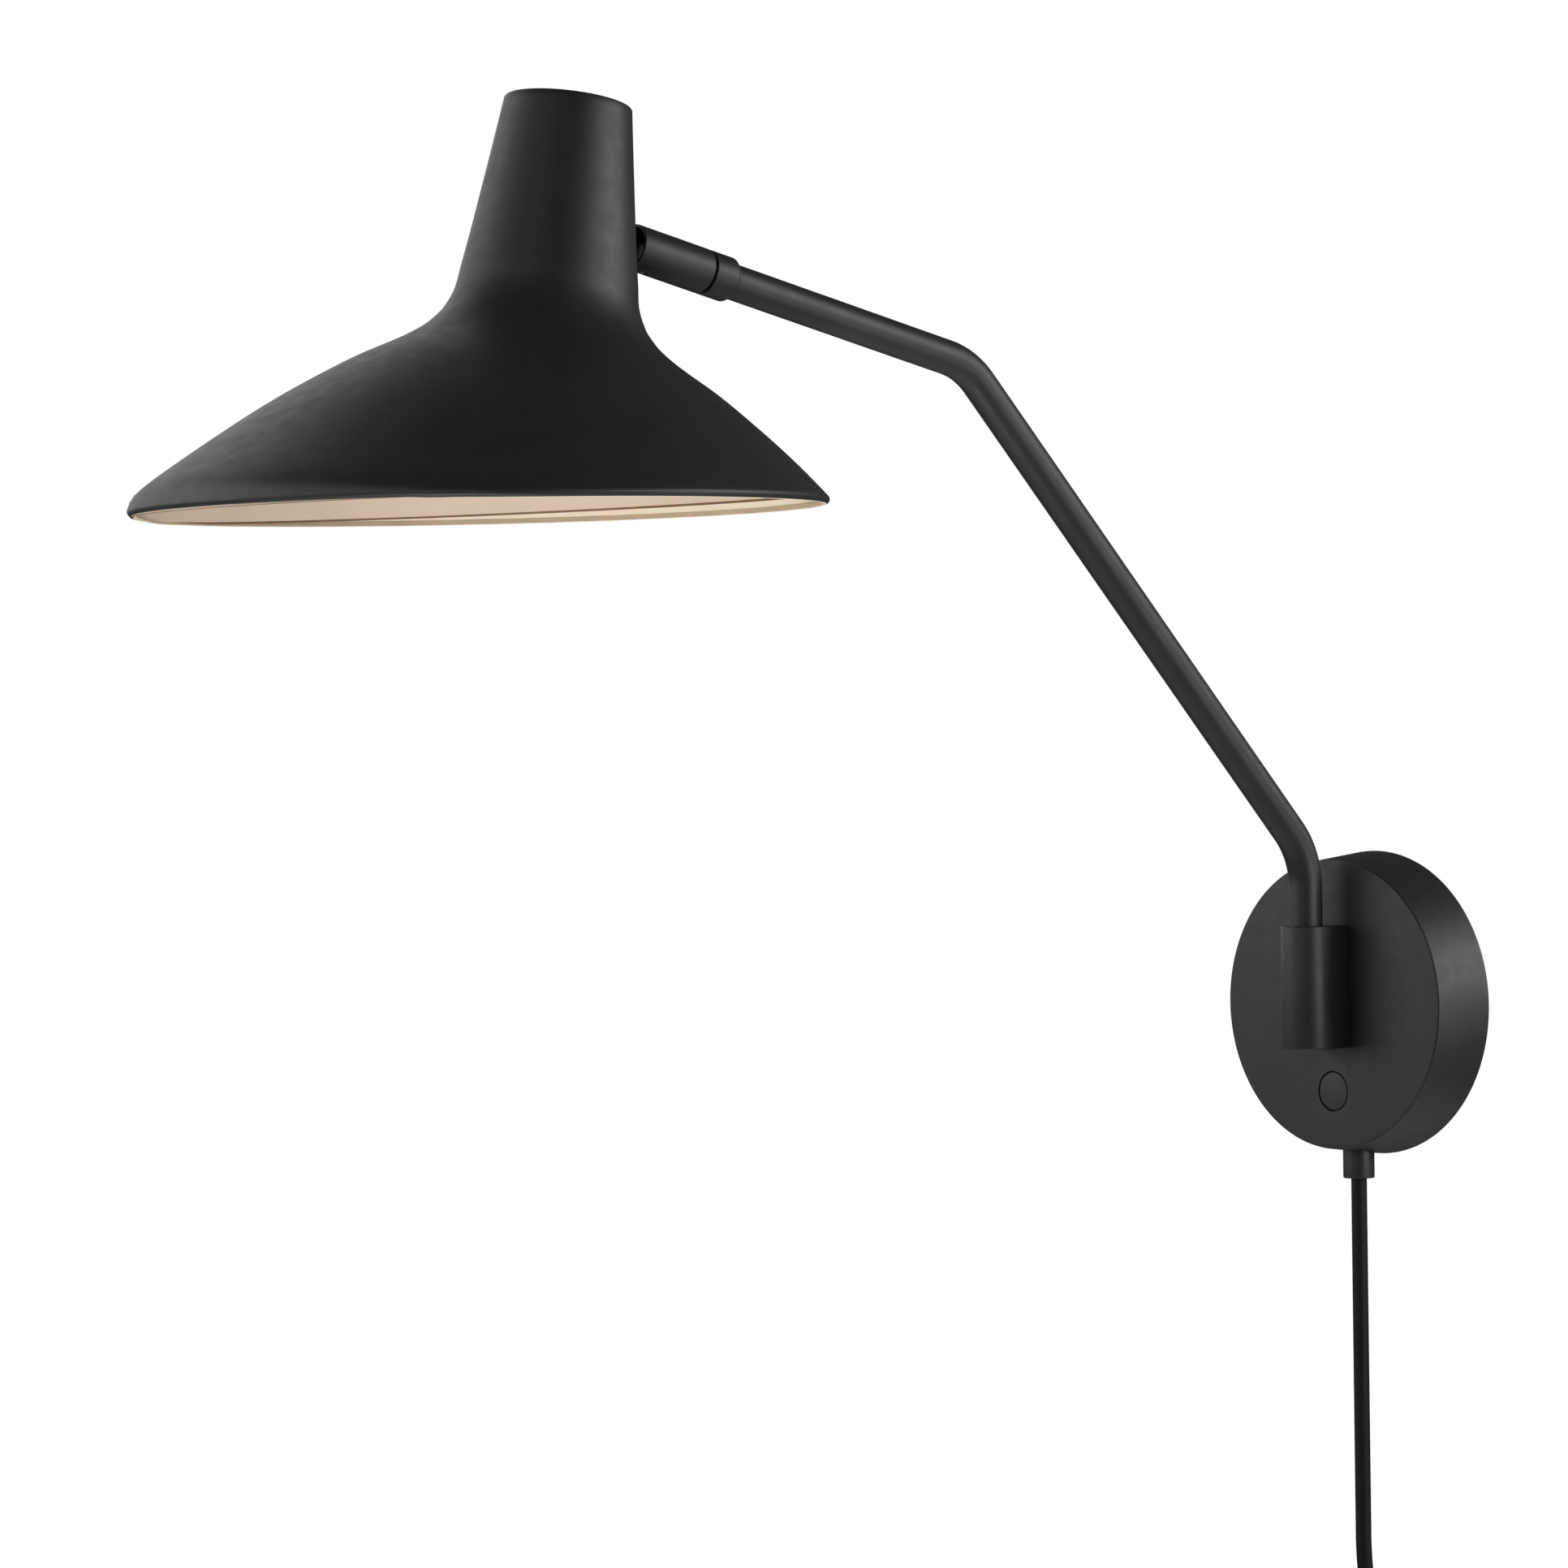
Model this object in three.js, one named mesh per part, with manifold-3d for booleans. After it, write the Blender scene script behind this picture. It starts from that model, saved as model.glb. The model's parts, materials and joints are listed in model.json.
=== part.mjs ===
// Swing arm wall sconce with a plug-in cord.
// Millimetres, +Z up. The wall is the plane y = 0 and the lamp reaches out along -Y.
// The origin is the middle of the wall bracket's back face.

import * as THREE from "three";
import { mergeVertices } from "three/addons/utils/BufferGeometryUtils.js";
import Module from "manifold-3d";

const wasm = await Module();
wasm.setup();

// ---------------------------------------------------------------- driving dimensions

const FIT_GAP = 0.3;            // clearance between pieces that touch
const CORD_DIAMETER = 6.2;

// Canopy on the wall
const CANOPY_BACK_RADIUS = 60;
const CANOPY_FRONT_RADIUS = 57;
const CANOPY_DEPTH = 25.5;
const CANOPY_WALL = 1.6;
const CANOPY_FACE = 2;
const CANOPY_EDGE_RADIUS = 1;
const BRACKET_RADIUS = 52;
const BRACKET_THICKNESS = 2;
const LOCK_SCREW_ANGLE = 240;   // degrees from +X towards +Z, seen from the front

// Hub on the canopy's face, with the arm's upright spindle in it
const HUB_RADIUS = 10;
const HUB_AXIS_FROM_FACE = 14;
const HUB_BOTTOM = -16.8;
const HUB_TOP = 31.2;
const HUB_BORE = 7.5;
const HUB_FLOOR = 4.5;
const HUB_SCREW_HEIGHTS = [-8, 22];
const LEAD_HOLE_HEIGHT = 7;

// Bent arm tube
const TUBE_RADIUS = 6.5;
const TUBE_BORE = 5.2;
const LOWER_BEND_HEIGHT = 59.1;
const RISE_ANGLE = 46.5;
const RISE_LENGTH = 256.2;
const REACH_ANGLE = 12.7;
const REACH_LENGTH = 129.3;
const BEND_RADIUS = 32;

// Swivel at the arm's end, measured along the reach from the seam
const SLEEVE_RADIUS = 8.2;
const SLEEVE_BORE = 7.2;
const SLEEVE_LENGTH = 33.6;
const COLLAR_LENGTH = 11.5;
const SEAM_GAP = 1;
const NIPPLE_RADIUS = 4.8;
const NIPPLE_BORE = 3.2;
const TONGUE_THICKNESS = 5;
const TONGUE_RADIUS = 4.5;
const TILT_BOLT_RADIUS = 1.95;
const PIN_FROM_SEAM = 45.7;
const CHEEK_INNER = 3.6;        // the bracket's cheeks, either side of the tongue
const CHEEK_OUTER = 5.2;
const BRACKET_SCREWS = [12, -13.5];
const NECK_SCREW_TOPS = [7.7, 7.3];
const PLATE_FROM_PIN = 1.9;

// Head: depths are measured down the neck's axis from a level just under its top
const NECK_TILT = 8.8;
const NECK_TOP_RADIUS = 22.5;
const NECK_EDGE_RADIUS = 0.6;
const NECK_RISE = 2;            // the neck's top above the level the depths start from
const PIN_OFF_NECK_AXIS = 22.3;
const PIN_DEPTH = 41.1;
const RIM_DEPTH = 142.3;        // where the rim's plane crosses the neck's axis
const RIM_CUT_ANGLE = 9.4;        // between the rim's plane and square to the neck
const SHADE_WALL = 1.2;
const LINER_WALL = 0.8;
const SHADE_SIDES = 36;
const SHADE_STEPS = 17;
const LINER_GAP = 0.6;
const LINER_TOP_DEPTH = 72.1;
const LINER_EDGE_TILT = 0.8;    // the liner's edge rises towards the wall by this angle
const LINER_EDGE_LIFT = 2.5;
const SHADE_OUTLINE = [         // [radius, depth] from below the neck's top edge to past the rim
  [25.3, 19], [29.1, 46.5], [32.4, 67.5], [36, 76], [42.3, 83], [54.4, 91.2], [68.7, 99.8],
  [91.1, 116], [110.1, 132], [127.4, 147.7], [134.8, 155.3], [136.4, 161], [136.6, 170],
];

// Lamp holder and bulb, as depths down the neck
const HOLDER_LEG_DEPTH = 30;
const HOLDER_TOP_DEPTH = 32.2;
const HOLDER_SPLIT_DEPTH = 48;
const HOLDER_END_DEPTH = 79;
const HOLDER_RADIUS = 14;
const BULB_RADIUS = 22.5;
const BULB_CENTRE_DEPTH = 110;

// Push button in the canopy's face
const BUTTON_RADIUS = 7.5;
const BUTTON_HEIGHT = -34.2;
const BUTTON_HOLE_RADIUS = 7.9;
const SWITCH_POSTS = [-14, 14];
const TERMINAL_HEIGHT = 36;

// Cord: straight down, then a hanging coil, then the plug
const GRIP_RADIUS = 6;
const GRIP_LENGTH = 11;
const CORD_FROM_WALL = 11.5;
const COIL_MIDDLE_RADIUS = 37.1;
const COIL_CENTRE_HEIGHT = -275;
const COIL_ACROSS = 2 * CORD_DIAMETER;
const COIL_ALONG = 4 * CORD_DIAMETER;
const COIL_FROM_WALL = 15.1;    // the middle of the coil's section
const LEAD_BENDS = [            // [distance from the wall, height] where the lead moves in to the coil
  [11.5, -212], [10.9, -222], [9.6, -232], [8, -242], [6.7, -251],
];
const TAIL_FROM_WALL = 24.4;
const TAIL_END_HEIGHT = -345;

// ---------------------------------------------------------------- derived places

const HUB_Y = -(CANOPY_DEPTH + HUB_AXIS_FROM_FACE);
const riseAngle = THREE.MathUtils.degToRad(RISE_ANGLE);
const reachAngle = THREE.MathUtils.degToRad(REACH_ANGLE);
const lowerBend = new THREE.Vector3(0, HUB_Y, LOWER_BEND_HEIGHT);
const riseDirection = new THREE.Vector3(0, -Math.cos(riseAngle), Math.sin(riseAngle));
const reachDirection = new THREE.Vector3(0, -Math.cos(reachAngle), Math.sin(reachAngle));
const upperBend = lowerBend.clone().addScaledVector(riseDirection, RISE_LENGTH);
const seam = upperBend.clone().addScaledVector(reachDirection, REACH_LENGTH);
const tiltPin = seam.clone().addScaledVector(reachDirection, PIN_FROM_SEAM);
const COIL_X = -(COIL_MIDDLE_RADIUS + CORD_DIAMETER / 2);

// ---------------------------------------------------------------- materials

function finish(color, roughness, metalness) {
  return new THREE.MeshStandardMaterial({ color, roughness, metalness });
}

const BLACK_PAINT = [0x262627, 0.5, 0.1];
const CREAM_PAINT = [0xf3e6cf, 0.6, 0];
const STEEL = [0xb8bbc0, 0.35, 0.9];
const BRASS = [0xc9a24b, 0.35, 0.9];
const BLACK_PLASTIC = [0x1d1d1e, 0.55, 0];
const WHITE_PLASTIC = [0xeeece6, 0.5, 0];
const CORD_TEXTILE = [0x151516, 0.85, 0];

// ---------------------------------------------------------------- solid helpers

const WELD_DISTANCE = 1e-4;

// Shared vertices only, no collapsed triangles, faces pointing out.
function closedGeometry(source) {
  const bare = source.clone();
  bare.deleteAttribute("normal");
  bare.deleteAttribute("uv");
  const welded = mergeVertices(bare, WELD_DISTANCE);
  const position = welded.attributes.position;
  const corner = [0, 1, 2].map(() => new THREE.Vector3());
  const kept = [];
  let volume = 0;
  for (let i = 0; i < welded.index.count; i += 3) {
    const ids = [0, 1, 2].map((k) => welded.index.getX(i + k));
    if (ids[0] === ids[1] || ids[1] === ids[2] || ids[2] === ids[0]) continue;
    ids.forEach((id, k) => corner[k].fromBufferAttribute(position, id));
    volume += corner[0].dot(corner[1].clone().cross(corner[2]));
    kept.push(ids);
  }
  if (volume < 0) kept.forEach((ids) => ids.reverse());
  welded.setIndex(kept.flat());
  return welded;
}

function toManifold(source) {
  const geometry = closedGeometry(source);
  const vertProperties = new Float32Array(geometry.attributes.position.array);
  const triVerts = new Uint32Array(geometry.index.array);
  return new wasm.Manifold(new wasm.Mesh({ numProp: 3, vertProperties, triVerts }));
}

function fromManifold(manifold) {
  const mesh = manifold.getMesh();
  const geometry = new THREE.BufferGeometry();
  geometry.setAttribute("position", new THREE.BufferAttribute(mesh.vertProperties, 3));
  geometry.setIndex(new THREE.BufferAttribute(mesh.triVerts, 1));
  return geometry;
}

function cut(body, ...tools) {
  return fromManifold(tools.reduce((left, tool) => left.subtract(toManifold(tool)), toManifold(body)));
}

function join(body, ...others) {
  return fromManifold(others.reduce((left, other) => left.add(toManifold(other)), toManifold(body)));
}

// ---------------------------------------------------------------- shape helpers

// Turned about +Z from [radius, z] points that close on the axis or on themselves.
function turned(outline, sides = 24) {
  const points = outline.map(([radius, z]) => new THREE.Vector2(radius, z));
  return new THREE.LatheGeometry(points, sides).rotateX(Math.PI / 2);
}

function rod(radius, from, to, sides = 24) {
  return turned([[0, from], [radius, from], [radius, to], [0, to]], sides);
}

function ring(inner, outer, from, to, sides = 24) {
  return turned([[inner, from], [outer, from], [outer, to], [inner, to], [inner, from]], sides);
}

// Stands a piece made about +Z along the wall's normal, +Z becoming -Y (out of the wall).
function facingOut(geometry) {
  return geometry.rotateX(Math.PI / 2);
}

function alongX(geometry) {
  return geometry.rotateY(Math.PI / 2);
}

function box(width, depth, height, x, y, z) {
  return new THREE.BoxGeometry(width, depth, height).translate(x, y, z);
}

function extruded(shape, from, to, curveSegments = 12) {
  const options = { depth: to - from, bevelEnabled: false, curveSegments };
  return new THREE.ExtrudeGeometry(shape, options).translate(0, 0, from);
}

function hexNut(acrossFlats, bore, from, to) {
  const corner = acrossFlats / Math.sqrt(3);
  const shape = new THREE.Shape();
  for (let i = 0; i < 6; i += 1) {
    const angle = (i * Math.PI) / 3;
    const step = i === 0 ? "moveTo" : "lineTo";
    shape[step](corner * Math.cos(angle), corner * Math.sin(angle));
  }
  shape.closePath();
  shape.holes.push(new THREE.Path().absarc(0, 0, bore, 0, 2 * Math.PI, true));
  return extruded(shape, from, to, 8);
}

// A slotted screw along +Z: the head's top is at z = 0 and the shank runs down from it.
function screw(headRadius, headHeight, shankRadius, length) {
  const slotDepth = headHeight * 0.45;
  const outline = [
    [0, 0], [headRadius * 0.8, 0], [headRadius, -headHeight * 0.3], [headRadius, -headHeight],
    [shankRadius, -headHeight], [shankRadius, -length + 0.6], [shankRadius - 0.6, -length], [0, -length],
  ];
  return cut(turned(outline, 10), box(headRadius * 2.2, 0.8, slotDepth * 2, 0, 0, 0));
}

// A curve that visits a list of points, one step each.
class RouteCurve extends THREE.Curve {
  constructor(points) {
    super();
    this.points = points;
  }

  getPointAt(u, target = new THREE.Vector3()) {
    const place = u * (this.points.length - 1);
    const low = Math.min(Math.floor(place), this.points.length - 2);
    return target.lerpVectors(this.points[low], this.points[low + 1], place - low);
  }

  getTangentAt(u, target = new THREE.Vector3()) {
    const last = this.points.length - 1;
    const here = Math.round(u * last);
    const ahead = new THREE.Vector3();
    const behind = new THREE.Vector3();
    if (here < last) ahead.subVectors(this.points[here + 1], this.points[here]).normalize();
    if (here > 0) behind.subVectors(this.points[here], this.points[here - 1]).normalize();
    return target.addVectors(ahead, behind).normalize();
  }

  getPoint(t, target) {
    return this.getPointAt(t, target);
  }
}

// Sweeps a round section, hollow if a bore is given, along a list of points.
function swept(points, radius, sides, bore = 0, boreSides = 12) {
  const ringPoints = (r, count) => Array.from({ length: count }, (_, i) => {
    const angle = (2 * Math.PI * i) / count;
    return new THREE.Vector2(r * Math.cos(angle), r * Math.sin(angle));
  });
  const section = new THREE.Shape(ringPoints(radius, sides));
  if (bore > 0) section.holes.push(new THREE.Path(ringPoints(bore, boreSides)));
  const options = { steps: points.length - 1, extrudePath: new RouteCurve(points), bevelEnabled: false };
  return new THREE.ExtrudeGeometry(section, options);
}

// Straight runs through the corners, each corner rounded to the bend radius.
function bentRoute(corners, radius, stepsPerBend) {
  const points = [corners[0].clone()];
  for (let i = 1; i < corners.length - 1; i += 1) {
    const incoming = corners[i].clone().sub(corners[i - 1]).normalize();
    const outgoing = corners[i + 1].clone().sub(corners[i]).normalize();
    const turn = incoming.angleTo(outgoing);
    const tangent = radius * Math.tan(turn / 2);
    const start = corners[i].clone().addScaledVector(incoming, -tangent);
    const side = outgoing.clone().addScaledVector(incoming, -outgoing.dot(incoming)).normalize();
    for (let k = 0; k <= stepsPerBend; k += 1) {
      const angle = (turn * k) / stepsPerBend;
      const point = start.clone().addScaledVector(incoming, radius * Math.sin(angle));
      points.push(point.addScaledVector(side, radius * (1 - Math.cos(angle))));
    }
  }
  points.push(corners[corners.length - 1].clone());
  return points;
}

// ---------------------------------------------------------------- scene graph

const lamp = new THREE.Group();
const swivelFrame = new THREE.Group();
const pinFrame = new THREE.Group();
const headFrame = new THREE.Group();
lamp.add(swivelFrame, pinFrame, headFrame);

// +Z runs along the reach of the arm, from the seam.
swivelFrame.position.copy(seam);
swivelFrame.rotation.x = Math.PI / 2 - reachAngle;

pinFrame.position.copy(tiltPin);

// +Z runs up the neck from the middle of its top, +Y towards the wall.
headFrame.rotation.x = THREE.MathUtils.degToRad(-NECK_TILT);
const pinInHead = new THREE.Vector3(0, PIN_OFF_NECK_AXIS, -PIN_DEPTH).applyEuler(headFrame.rotation);
headFrame.position.copy(tiltPin).sub(pinInHead);
lamp.updateMatrixWorld(true);

function place(name, geometry, [color, roughness, metalness], frame = lamp) {
  const mesh = new THREE.Mesh(closedGeometry(geometry), finish(color, roughness, metalness));
  mesh.name = name;
  frame.add(mesh);
}

// Moves a geometry made in one frame's coordinates into another frame's.
function carried(geometry, from, to) {
  const matrix = to.matrixWorld.clone().invert().multiply(from.matrixWorld);
  return geometry.applyMatrix4(matrix);
}

// ---------------------------------------------------------------- canopy and bracket

function canopyRadius(depth) {
  const share = depth / CANOPY_DEPTH;
  return CANOPY_BACK_RADIUS + (CANOPY_FRONT_RADIUS - CANOPY_BACK_RADIUS) * share;
}

function roundPath(x, y, radius) {
  return new THREE.Path().absarc(x, y, radius, 0, 2 * Math.PI, true);
}

function screwSlot(x) {
  const half = 6;
  const radius = 2.6;
  const slot = new THREE.Path();
  slot.moveTo(x - radius, -half);
  slot.absarc(x, -half, radius, Math.PI, 2 * Math.PI, false);
  slot.absarc(x, half, radius, 0, Math.PI, false);
  slot.closePath();
  return slot;
}

function lockTab(angle) {
  const tab = box(1.8, 12, 14, BRACKET_RADIUS - 1.2, -BRACKET_THICKNESS - 5, 0);
  const hole = alongX(rod(1.5, BRACKET_RADIUS - 4, BRACKET_RADIUS + 4, 12)).translate(0, -CORD_FROM_WALL, 0);
  return cut(tab, hole).rotateY(-THREE.MathUtils.degToRad(angle));
}

function wallBracket() {
  const disc = new THREE.Shape().absarc(0, 0, BRACKET_RADIUS, 0, 2 * Math.PI, false);
  disc.holes.push(screwSlot(-30), screwSlot(30), roundPath(0, -22, 7));
  const plate = facingOut(extruded(disc, 0, BRACKET_THICKNESS, 10));
  return join(plate, lockTab(LOCK_SCREW_ANGLE), lockTab(LOCK_SCREW_ANGLE - 180));
}

function canopyHousing() {
  const outer = [[CANOPY_BACK_RADIUS, 0]];
  for (let i = 0; i <= 3; i += 1) {
    const angle = (i * Math.PI) / 6;
    const radius = CANOPY_FRONT_RADIUS - CANOPY_EDGE_RADIUS * (1 - Math.cos(angle));
    outer.push([radius, CANOPY_DEPTH - CANOPY_EDGE_RADIUS * (1 - Math.sin(angle))]);
  }
  const innerDepth = CANOPY_DEPTH - CANOPY_FACE;
  const inner = [[0, innerDepth], [canopyRadius(innerDepth) - CANOPY_WALL, innerDepth],
    [CANOPY_BACK_RADIUS - CANOPY_WALL, 0], [CANOPY_BACK_RADIUS, 0]];
  const shell = facingOut(turned([...outer, [0, CANOPY_DEPTH], ...inner], 40));
  const post = (x) => facingOut(rod(3, 17, innerDepth + 0.5, 12)).translate(x, 0, BUTTON_HEIGHT);
  const posts = SWITCH_POSTS.map(post);
  const hubHoles = HUB_SCREW_HEIGHTS.map((z) => facingOut(rod(2.8, 20, 30, 14)).translate(0, 0, z));
  const leadHole = facingOut(rod(3.4, 20, 30, 14)).translate(0, 0, LEAD_HOLE_HEIGHT);
  const buttonHole = facingOut(rod(BUTTON_HOLE_RADIUS, 20, 30, 20)).translate(0, 0, BUTTON_HEIGHT);
  const gripHole = rod(4.4, -70, -45, 16).translate(0, -CORD_FROM_WALL, 0);
  const lockHole = alongX(rod(2.4, 50, 70, 14)).translate(0, -CORD_FROM_WALL, 0);
  lockHole.rotateY(-THREE.MathUtils.degToRad(LOCK_SCREW_ANGLE));
  const postBores = SWITCH_POSTS.map((x) => facingOut(rod(1.3, 15, 22, 10)).translate(x, 0, BUTTON_HEIGHT));
  return cut(join(shell, ...posts), ...hubHoles, leadHole, buttonHole, gripHole, lockHole, ...postBores);
}

place("wall_bracket", wallBracket(), STEEL);
place("canopy_housing", canopyHousing(), BLACK_PAINT);

const lockScrew = alongX(screw(2.2, 2, 1.2, 9)).translate(canopyRadius(CORD_FROM_WALL) + 0.2, 0, 0);
lockScrew.translate(0, -CORD_FROM_WALL, 0).rotateY(-THREE.MathUtils.degToRad(LOCK_SCREW_ANGLE));
place("canopy_lock_screw", lockScrew, STEEL);

// ---------------------------------------------------------------- hub

function hubBlock() {
  const back = -CANOPY_DEPTH - FIT_GAP;
  const outline = new THREE.Shape();
  outline.moveTo(HUB_RADIUS, back);
  outline.lineTo(-HUB_RADIUS, back);
  outline.lineTo(-HUB_RADIUS, HUB_Y);
  outline.absarc(0, HUB_Y, HUB_RADIUS, Math.PI, 2 * Math.PI, false);
  outline.closePath();
  const block = extruded(outline, HUB_BOTTOM, HUB_TOP, 12);
  const bore = rod(HUB_BORE, HUB_BOTTOM + HUB_FLOOR, HUB_TOP + 1, 18).translate(0, HUB_Y, 0);
  const floorHole = rod(2.6, HUB_BOTTOM - 1, HUB_BOTTOM + HUB_FLOOR + 1, 14).translate(0, HUB_Y, 0);
  const floorRecess = rod(4.6, HUB_BOTTOM - 1, HUB_BOTTOM + 2.2, 18).translate(0, HUB_Y, 0);
  const screwHoles = HUB_SCREW_HEIGHTS.map((z) => facingOut(rod(2.4, 20, 30.6, 14)).translate(0, 0, z));
  const leadHole = facingOut(rod(3.2, 20, 34, 14)).translate(0, 0, LEAD_HOLE_HEIGHT);
  return cut(block, bore, floorHole, floorRecess, ...screwHoles, leadHole);
}

function hubBush(from, to) {
  return ring(TUBE_RADIUS + 0.2, HUB_BORE - 0.2, from, to, 18).translate(0, HUB_Y, 0);
}

place("hub_block", hubBlock(), BLACK_PAINT);
place("arm_bush_upper", hubBush(HUB_TOP - 13, HUB_TOP - 0.6), BLACK_PLASTIC);
place("arm_bush_lower", hubBush(HUB_BOTTOM + HUB_FLOOR + 1.4, HUB_BOTTOM + HUB_FLOOR + 12), BLACK_PLASTIC);
HUB_SCREW_HEIGHTS.forEach((z, i) => {
  const headBack = -(CANOPY_DEPTH - CANOPY_FACE - FIT_GAP - 3);
  const bolt = facingOut(screw(4.2, 3, 2.1, 9.6).rotateX(Math.PI)).translate(0, headBack, z);
  place(["hub_screw_lower", "hub_screw_upper"][i], bolt, STEEL);
});
const washerFloor = HUB_BOTTOM + HUB_FLOOR;
const thrustWasher = ring(2.6, 7.2, washerFloor + FIT_GAP, washerFloor + 1.1, 16).translate(0, HUB_Y, 0);
place("arm_thrust_washer", thrustWasher, BRASS);

// ---------------------------------------------------------------- arm

const TUBE_START = washerFloor + 1.4;
const COLLAR_SHOULDER = -4;

function armTube() {
  const start = new THREE.Vector3(0, HUB_Y, TUBE_START);
  const end = seam.clone().addScaledVector(reachDirection, COLLAR_SHOULDER - FIT_GAP);
  const route = bentRoute([start, lowerBend, upperBend, end], BEND_RADIUS, 5);
  const tube = swept(route, TUBE_RADIUS, 16, TUBE_BORE, 10);
  const window = box(20, 12, 8, 0, HUB_Y + 7.5, LEAD_HOLE_HEIGHT);
  return cut(tube, window);
}

function armLead() {
  const start = new THREE.Vector3(0, HUB_Y, LEAD_HOLE_HEIGHT + 5);
  const end = seam.clone().addScaledVector(reachDirection, -10);
  return swept(bentRoute([start, lowerBend, upperBend, end], BEND_RADIUS, 5), 2.4, 8);
}

place("arm_tube", armTube(), BLACK_PAINT);
place("arm_lead", armLead(), BLACK_PLASTIC);
const endPlug = cut(rod(TUBE_BORE - FIT_GAP, TUBE_START, 2, 16), rod(1.9, TUBE_START - 1, -3, 12));
place("arm_end_plug", endPlug.translate(0, HUB_Y, 0), STEEL);
const retainingScrew = screw(4.2, 1.8, 1.6, 13).rotateX(Math.PI).translate(0, HUB_Y, HUB_BOTTOM + 0.2);
place("arm_retaining_screw", retainingScrew, STEEL);

const collarOutline = [
  [TUBE_RADIUS + 0.2, -COLLAR_LENGTH], [TUBE_RADIUS + 0.6, -COLLAR_LENGTH],
  [SLEEVE_RADIUS, -COLLAR_LENGTH + 3], [SLEEVE_RADIUS, -SEAM_GAP / 2],
  [NIPPLE_RADIUS + 0.2, -SEAM_GAP / 2], [NIPPLE_RADIUS + 0.2, COLLAR_SHOULDER],
  [TUBE_RADIUS + 0.2, COLLAR_SHOULDER], [TUBE_RADIUS + 0.2, -COLLAR_LENGTH],
];
place("arm_collar", turned(collarOutline, 20), BLACK_PAINT, swivelFrame);
place("swivel_nipple", ring(NIPPLE_BORE, NIPPLE_RADIUS, -9, 12, 18), STEEL, swivelFrame);
place("swivel_washer", ring(NIPPLE_RADIUS + 0.2, 7.4, -0.2, 0.2, 18), BLACK_PLASTIC, swivelFrame);
place("swivel_spring_washer", ring(NIPPLE_RADIUS + 0.2, 6.6, 3.8, 4.4, 20), STEEL, swivelFrame);
place("swivel_locknut", hexNut(12, NIPPLE_RADIUS + 0.2, 4.7, 8.2), STEEL, swivelFrame);

// ---------------------------------------------------------------- swivel sleeve and tongue

const sleeveOutline = [
  [NIPPLE_RADIUS + 0.25, SEAM_GAP / 2], [SLEEVE_RADIUS, SEAM_GAP / 2], [SLEEVE_RADIUS, SLEEVE_LENGTH],
  [SLEEVE_BORE, SLEEVE_LENGTH], [SLEEVE_BORE, 3.5], [NIPPLE_RADIUS + 0.25, 3.5],
  [NIPPLE_RADIUS + 0.25, SEAM_GAP / 2],
];
const sleeveScrewPlace = SLEEVE_LENGTH - 7;
const sleeveScrewHole = rod(1.8, -12, 0, 12).rotateX(-Math.PI / 2).translate(0, 0, sleeveScrewPlace);

function tongue() {
  const plug = rod(SLEEVE_BORE - FIT_GAP, SLEEVE_LENGTH - 14, SLEEVE_LENGTH - 5, 20);
  const blade = new THREE.Shape();
  blade.moveTo(SLEEVE_LENGTH - 8, -TONGUE_RADIUS);
  blade.absarc(PIN_FROM_SEAM, 0, TONGUE_RADIUS, -Math.PI / 2, Math.PI / 2, false);
  blade.lineTo(SLEEVE_LENGTH - 8, TONGUE_RADIUS);
  blade.closePath();
  blade.holes.push(roundPath(PIN_FROM_SEAM, 0, TILT_BOLT_RADIUS + 0.25));
  const half = TONGUE_THICKNESS / 2;
  const bladeSolid = extruded(blade, -half, half, 6).rotateY(-Math.PI / 2);
  const wireHoles = [-4.7, 4.7].map((x) => rod(1.4, 15, SLEEVE_LENGTH - 4, 10).translate(x, 0, 0));
  const screwSeat = rod(1.4, -12, -3, 10).rotateX(-Math.PI / 2).translate(0, 0, sleeveScrewPlace);
  return cut(join(plug, bladeSolid), ...wireHoles, screwSeat);
}

place("knuckle_sleeve", cut(turned(sleeveOutline, 20), sleeveScrewHole), BLACK_PAINT, swivelFrame);
place("knuckle_tongue", tongue(), BLACK_PAINT, swivelFrame);
const grub = rod(1.1, 0.3 - SLEEVE_RADIUS, -3.4, 10).rotateX(-Math.PI / 2).translate(0, 0, sleeveScrewPlace);
place("knuckle_grub_screw", grub, STEEL, swivelFrame);

// ---------------------------------------------------------------- shade

// Points [radius, depth] pushed square to the outline, towards the axis.
function inset(outline, distance) {
  return outline.map(([radius, depth], i) => {
    const before = outline[Math.max(i - 1, 0)];
    const after = outline[Math.min(i + 1, outline.length - 1)];
    const run = new THREE.Vector2(after[0] - before[0], after[1] - before[1]).normalize();
    return [radius - run.y * distance, depth + run.x * distance];
  });
}

function shadeCurve() {
  const start = new THREE.Vector2(NECK_TOP_RADIUS + 0.1, NECK_EDGE_RADIUS - NECK_RISE);
  const knots = SHADE_OUTLINE.map(([radius, depth]) => new THREE.Vector2(radius, depth));
  return new THREE.SplineCurve([start, ...knots]).getPoints(SHADE_STEPS).map((p) => [p.x, p.y]);
}

const asTurned = ([radius, depth]) => [radius, -depth];

function radiusAt(outline, wanted) {
  const after = outline.findIndex(([, depth]) => depth >= wanted);
  const [low, high] = [outline[after - 1], outline[after]];
  return THREE.MathUtils.mapLinear(wanted, low[1], high[1], low[0], high[0]);
}

// Everything below a plane across the neck's axis that is higher on the wall's side.
function rimCutter(extraAngle, lift) {
  const size = 500;
  const block = box(size, size, size, 0, 0, -size / 2);
  block.rotateX(THREE.MathUtils.degToRad(RIM_CUT_ANGLE + extraAngle));
  return block.translate(0, 0, lift - RIM_DEPTH);
}

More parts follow.
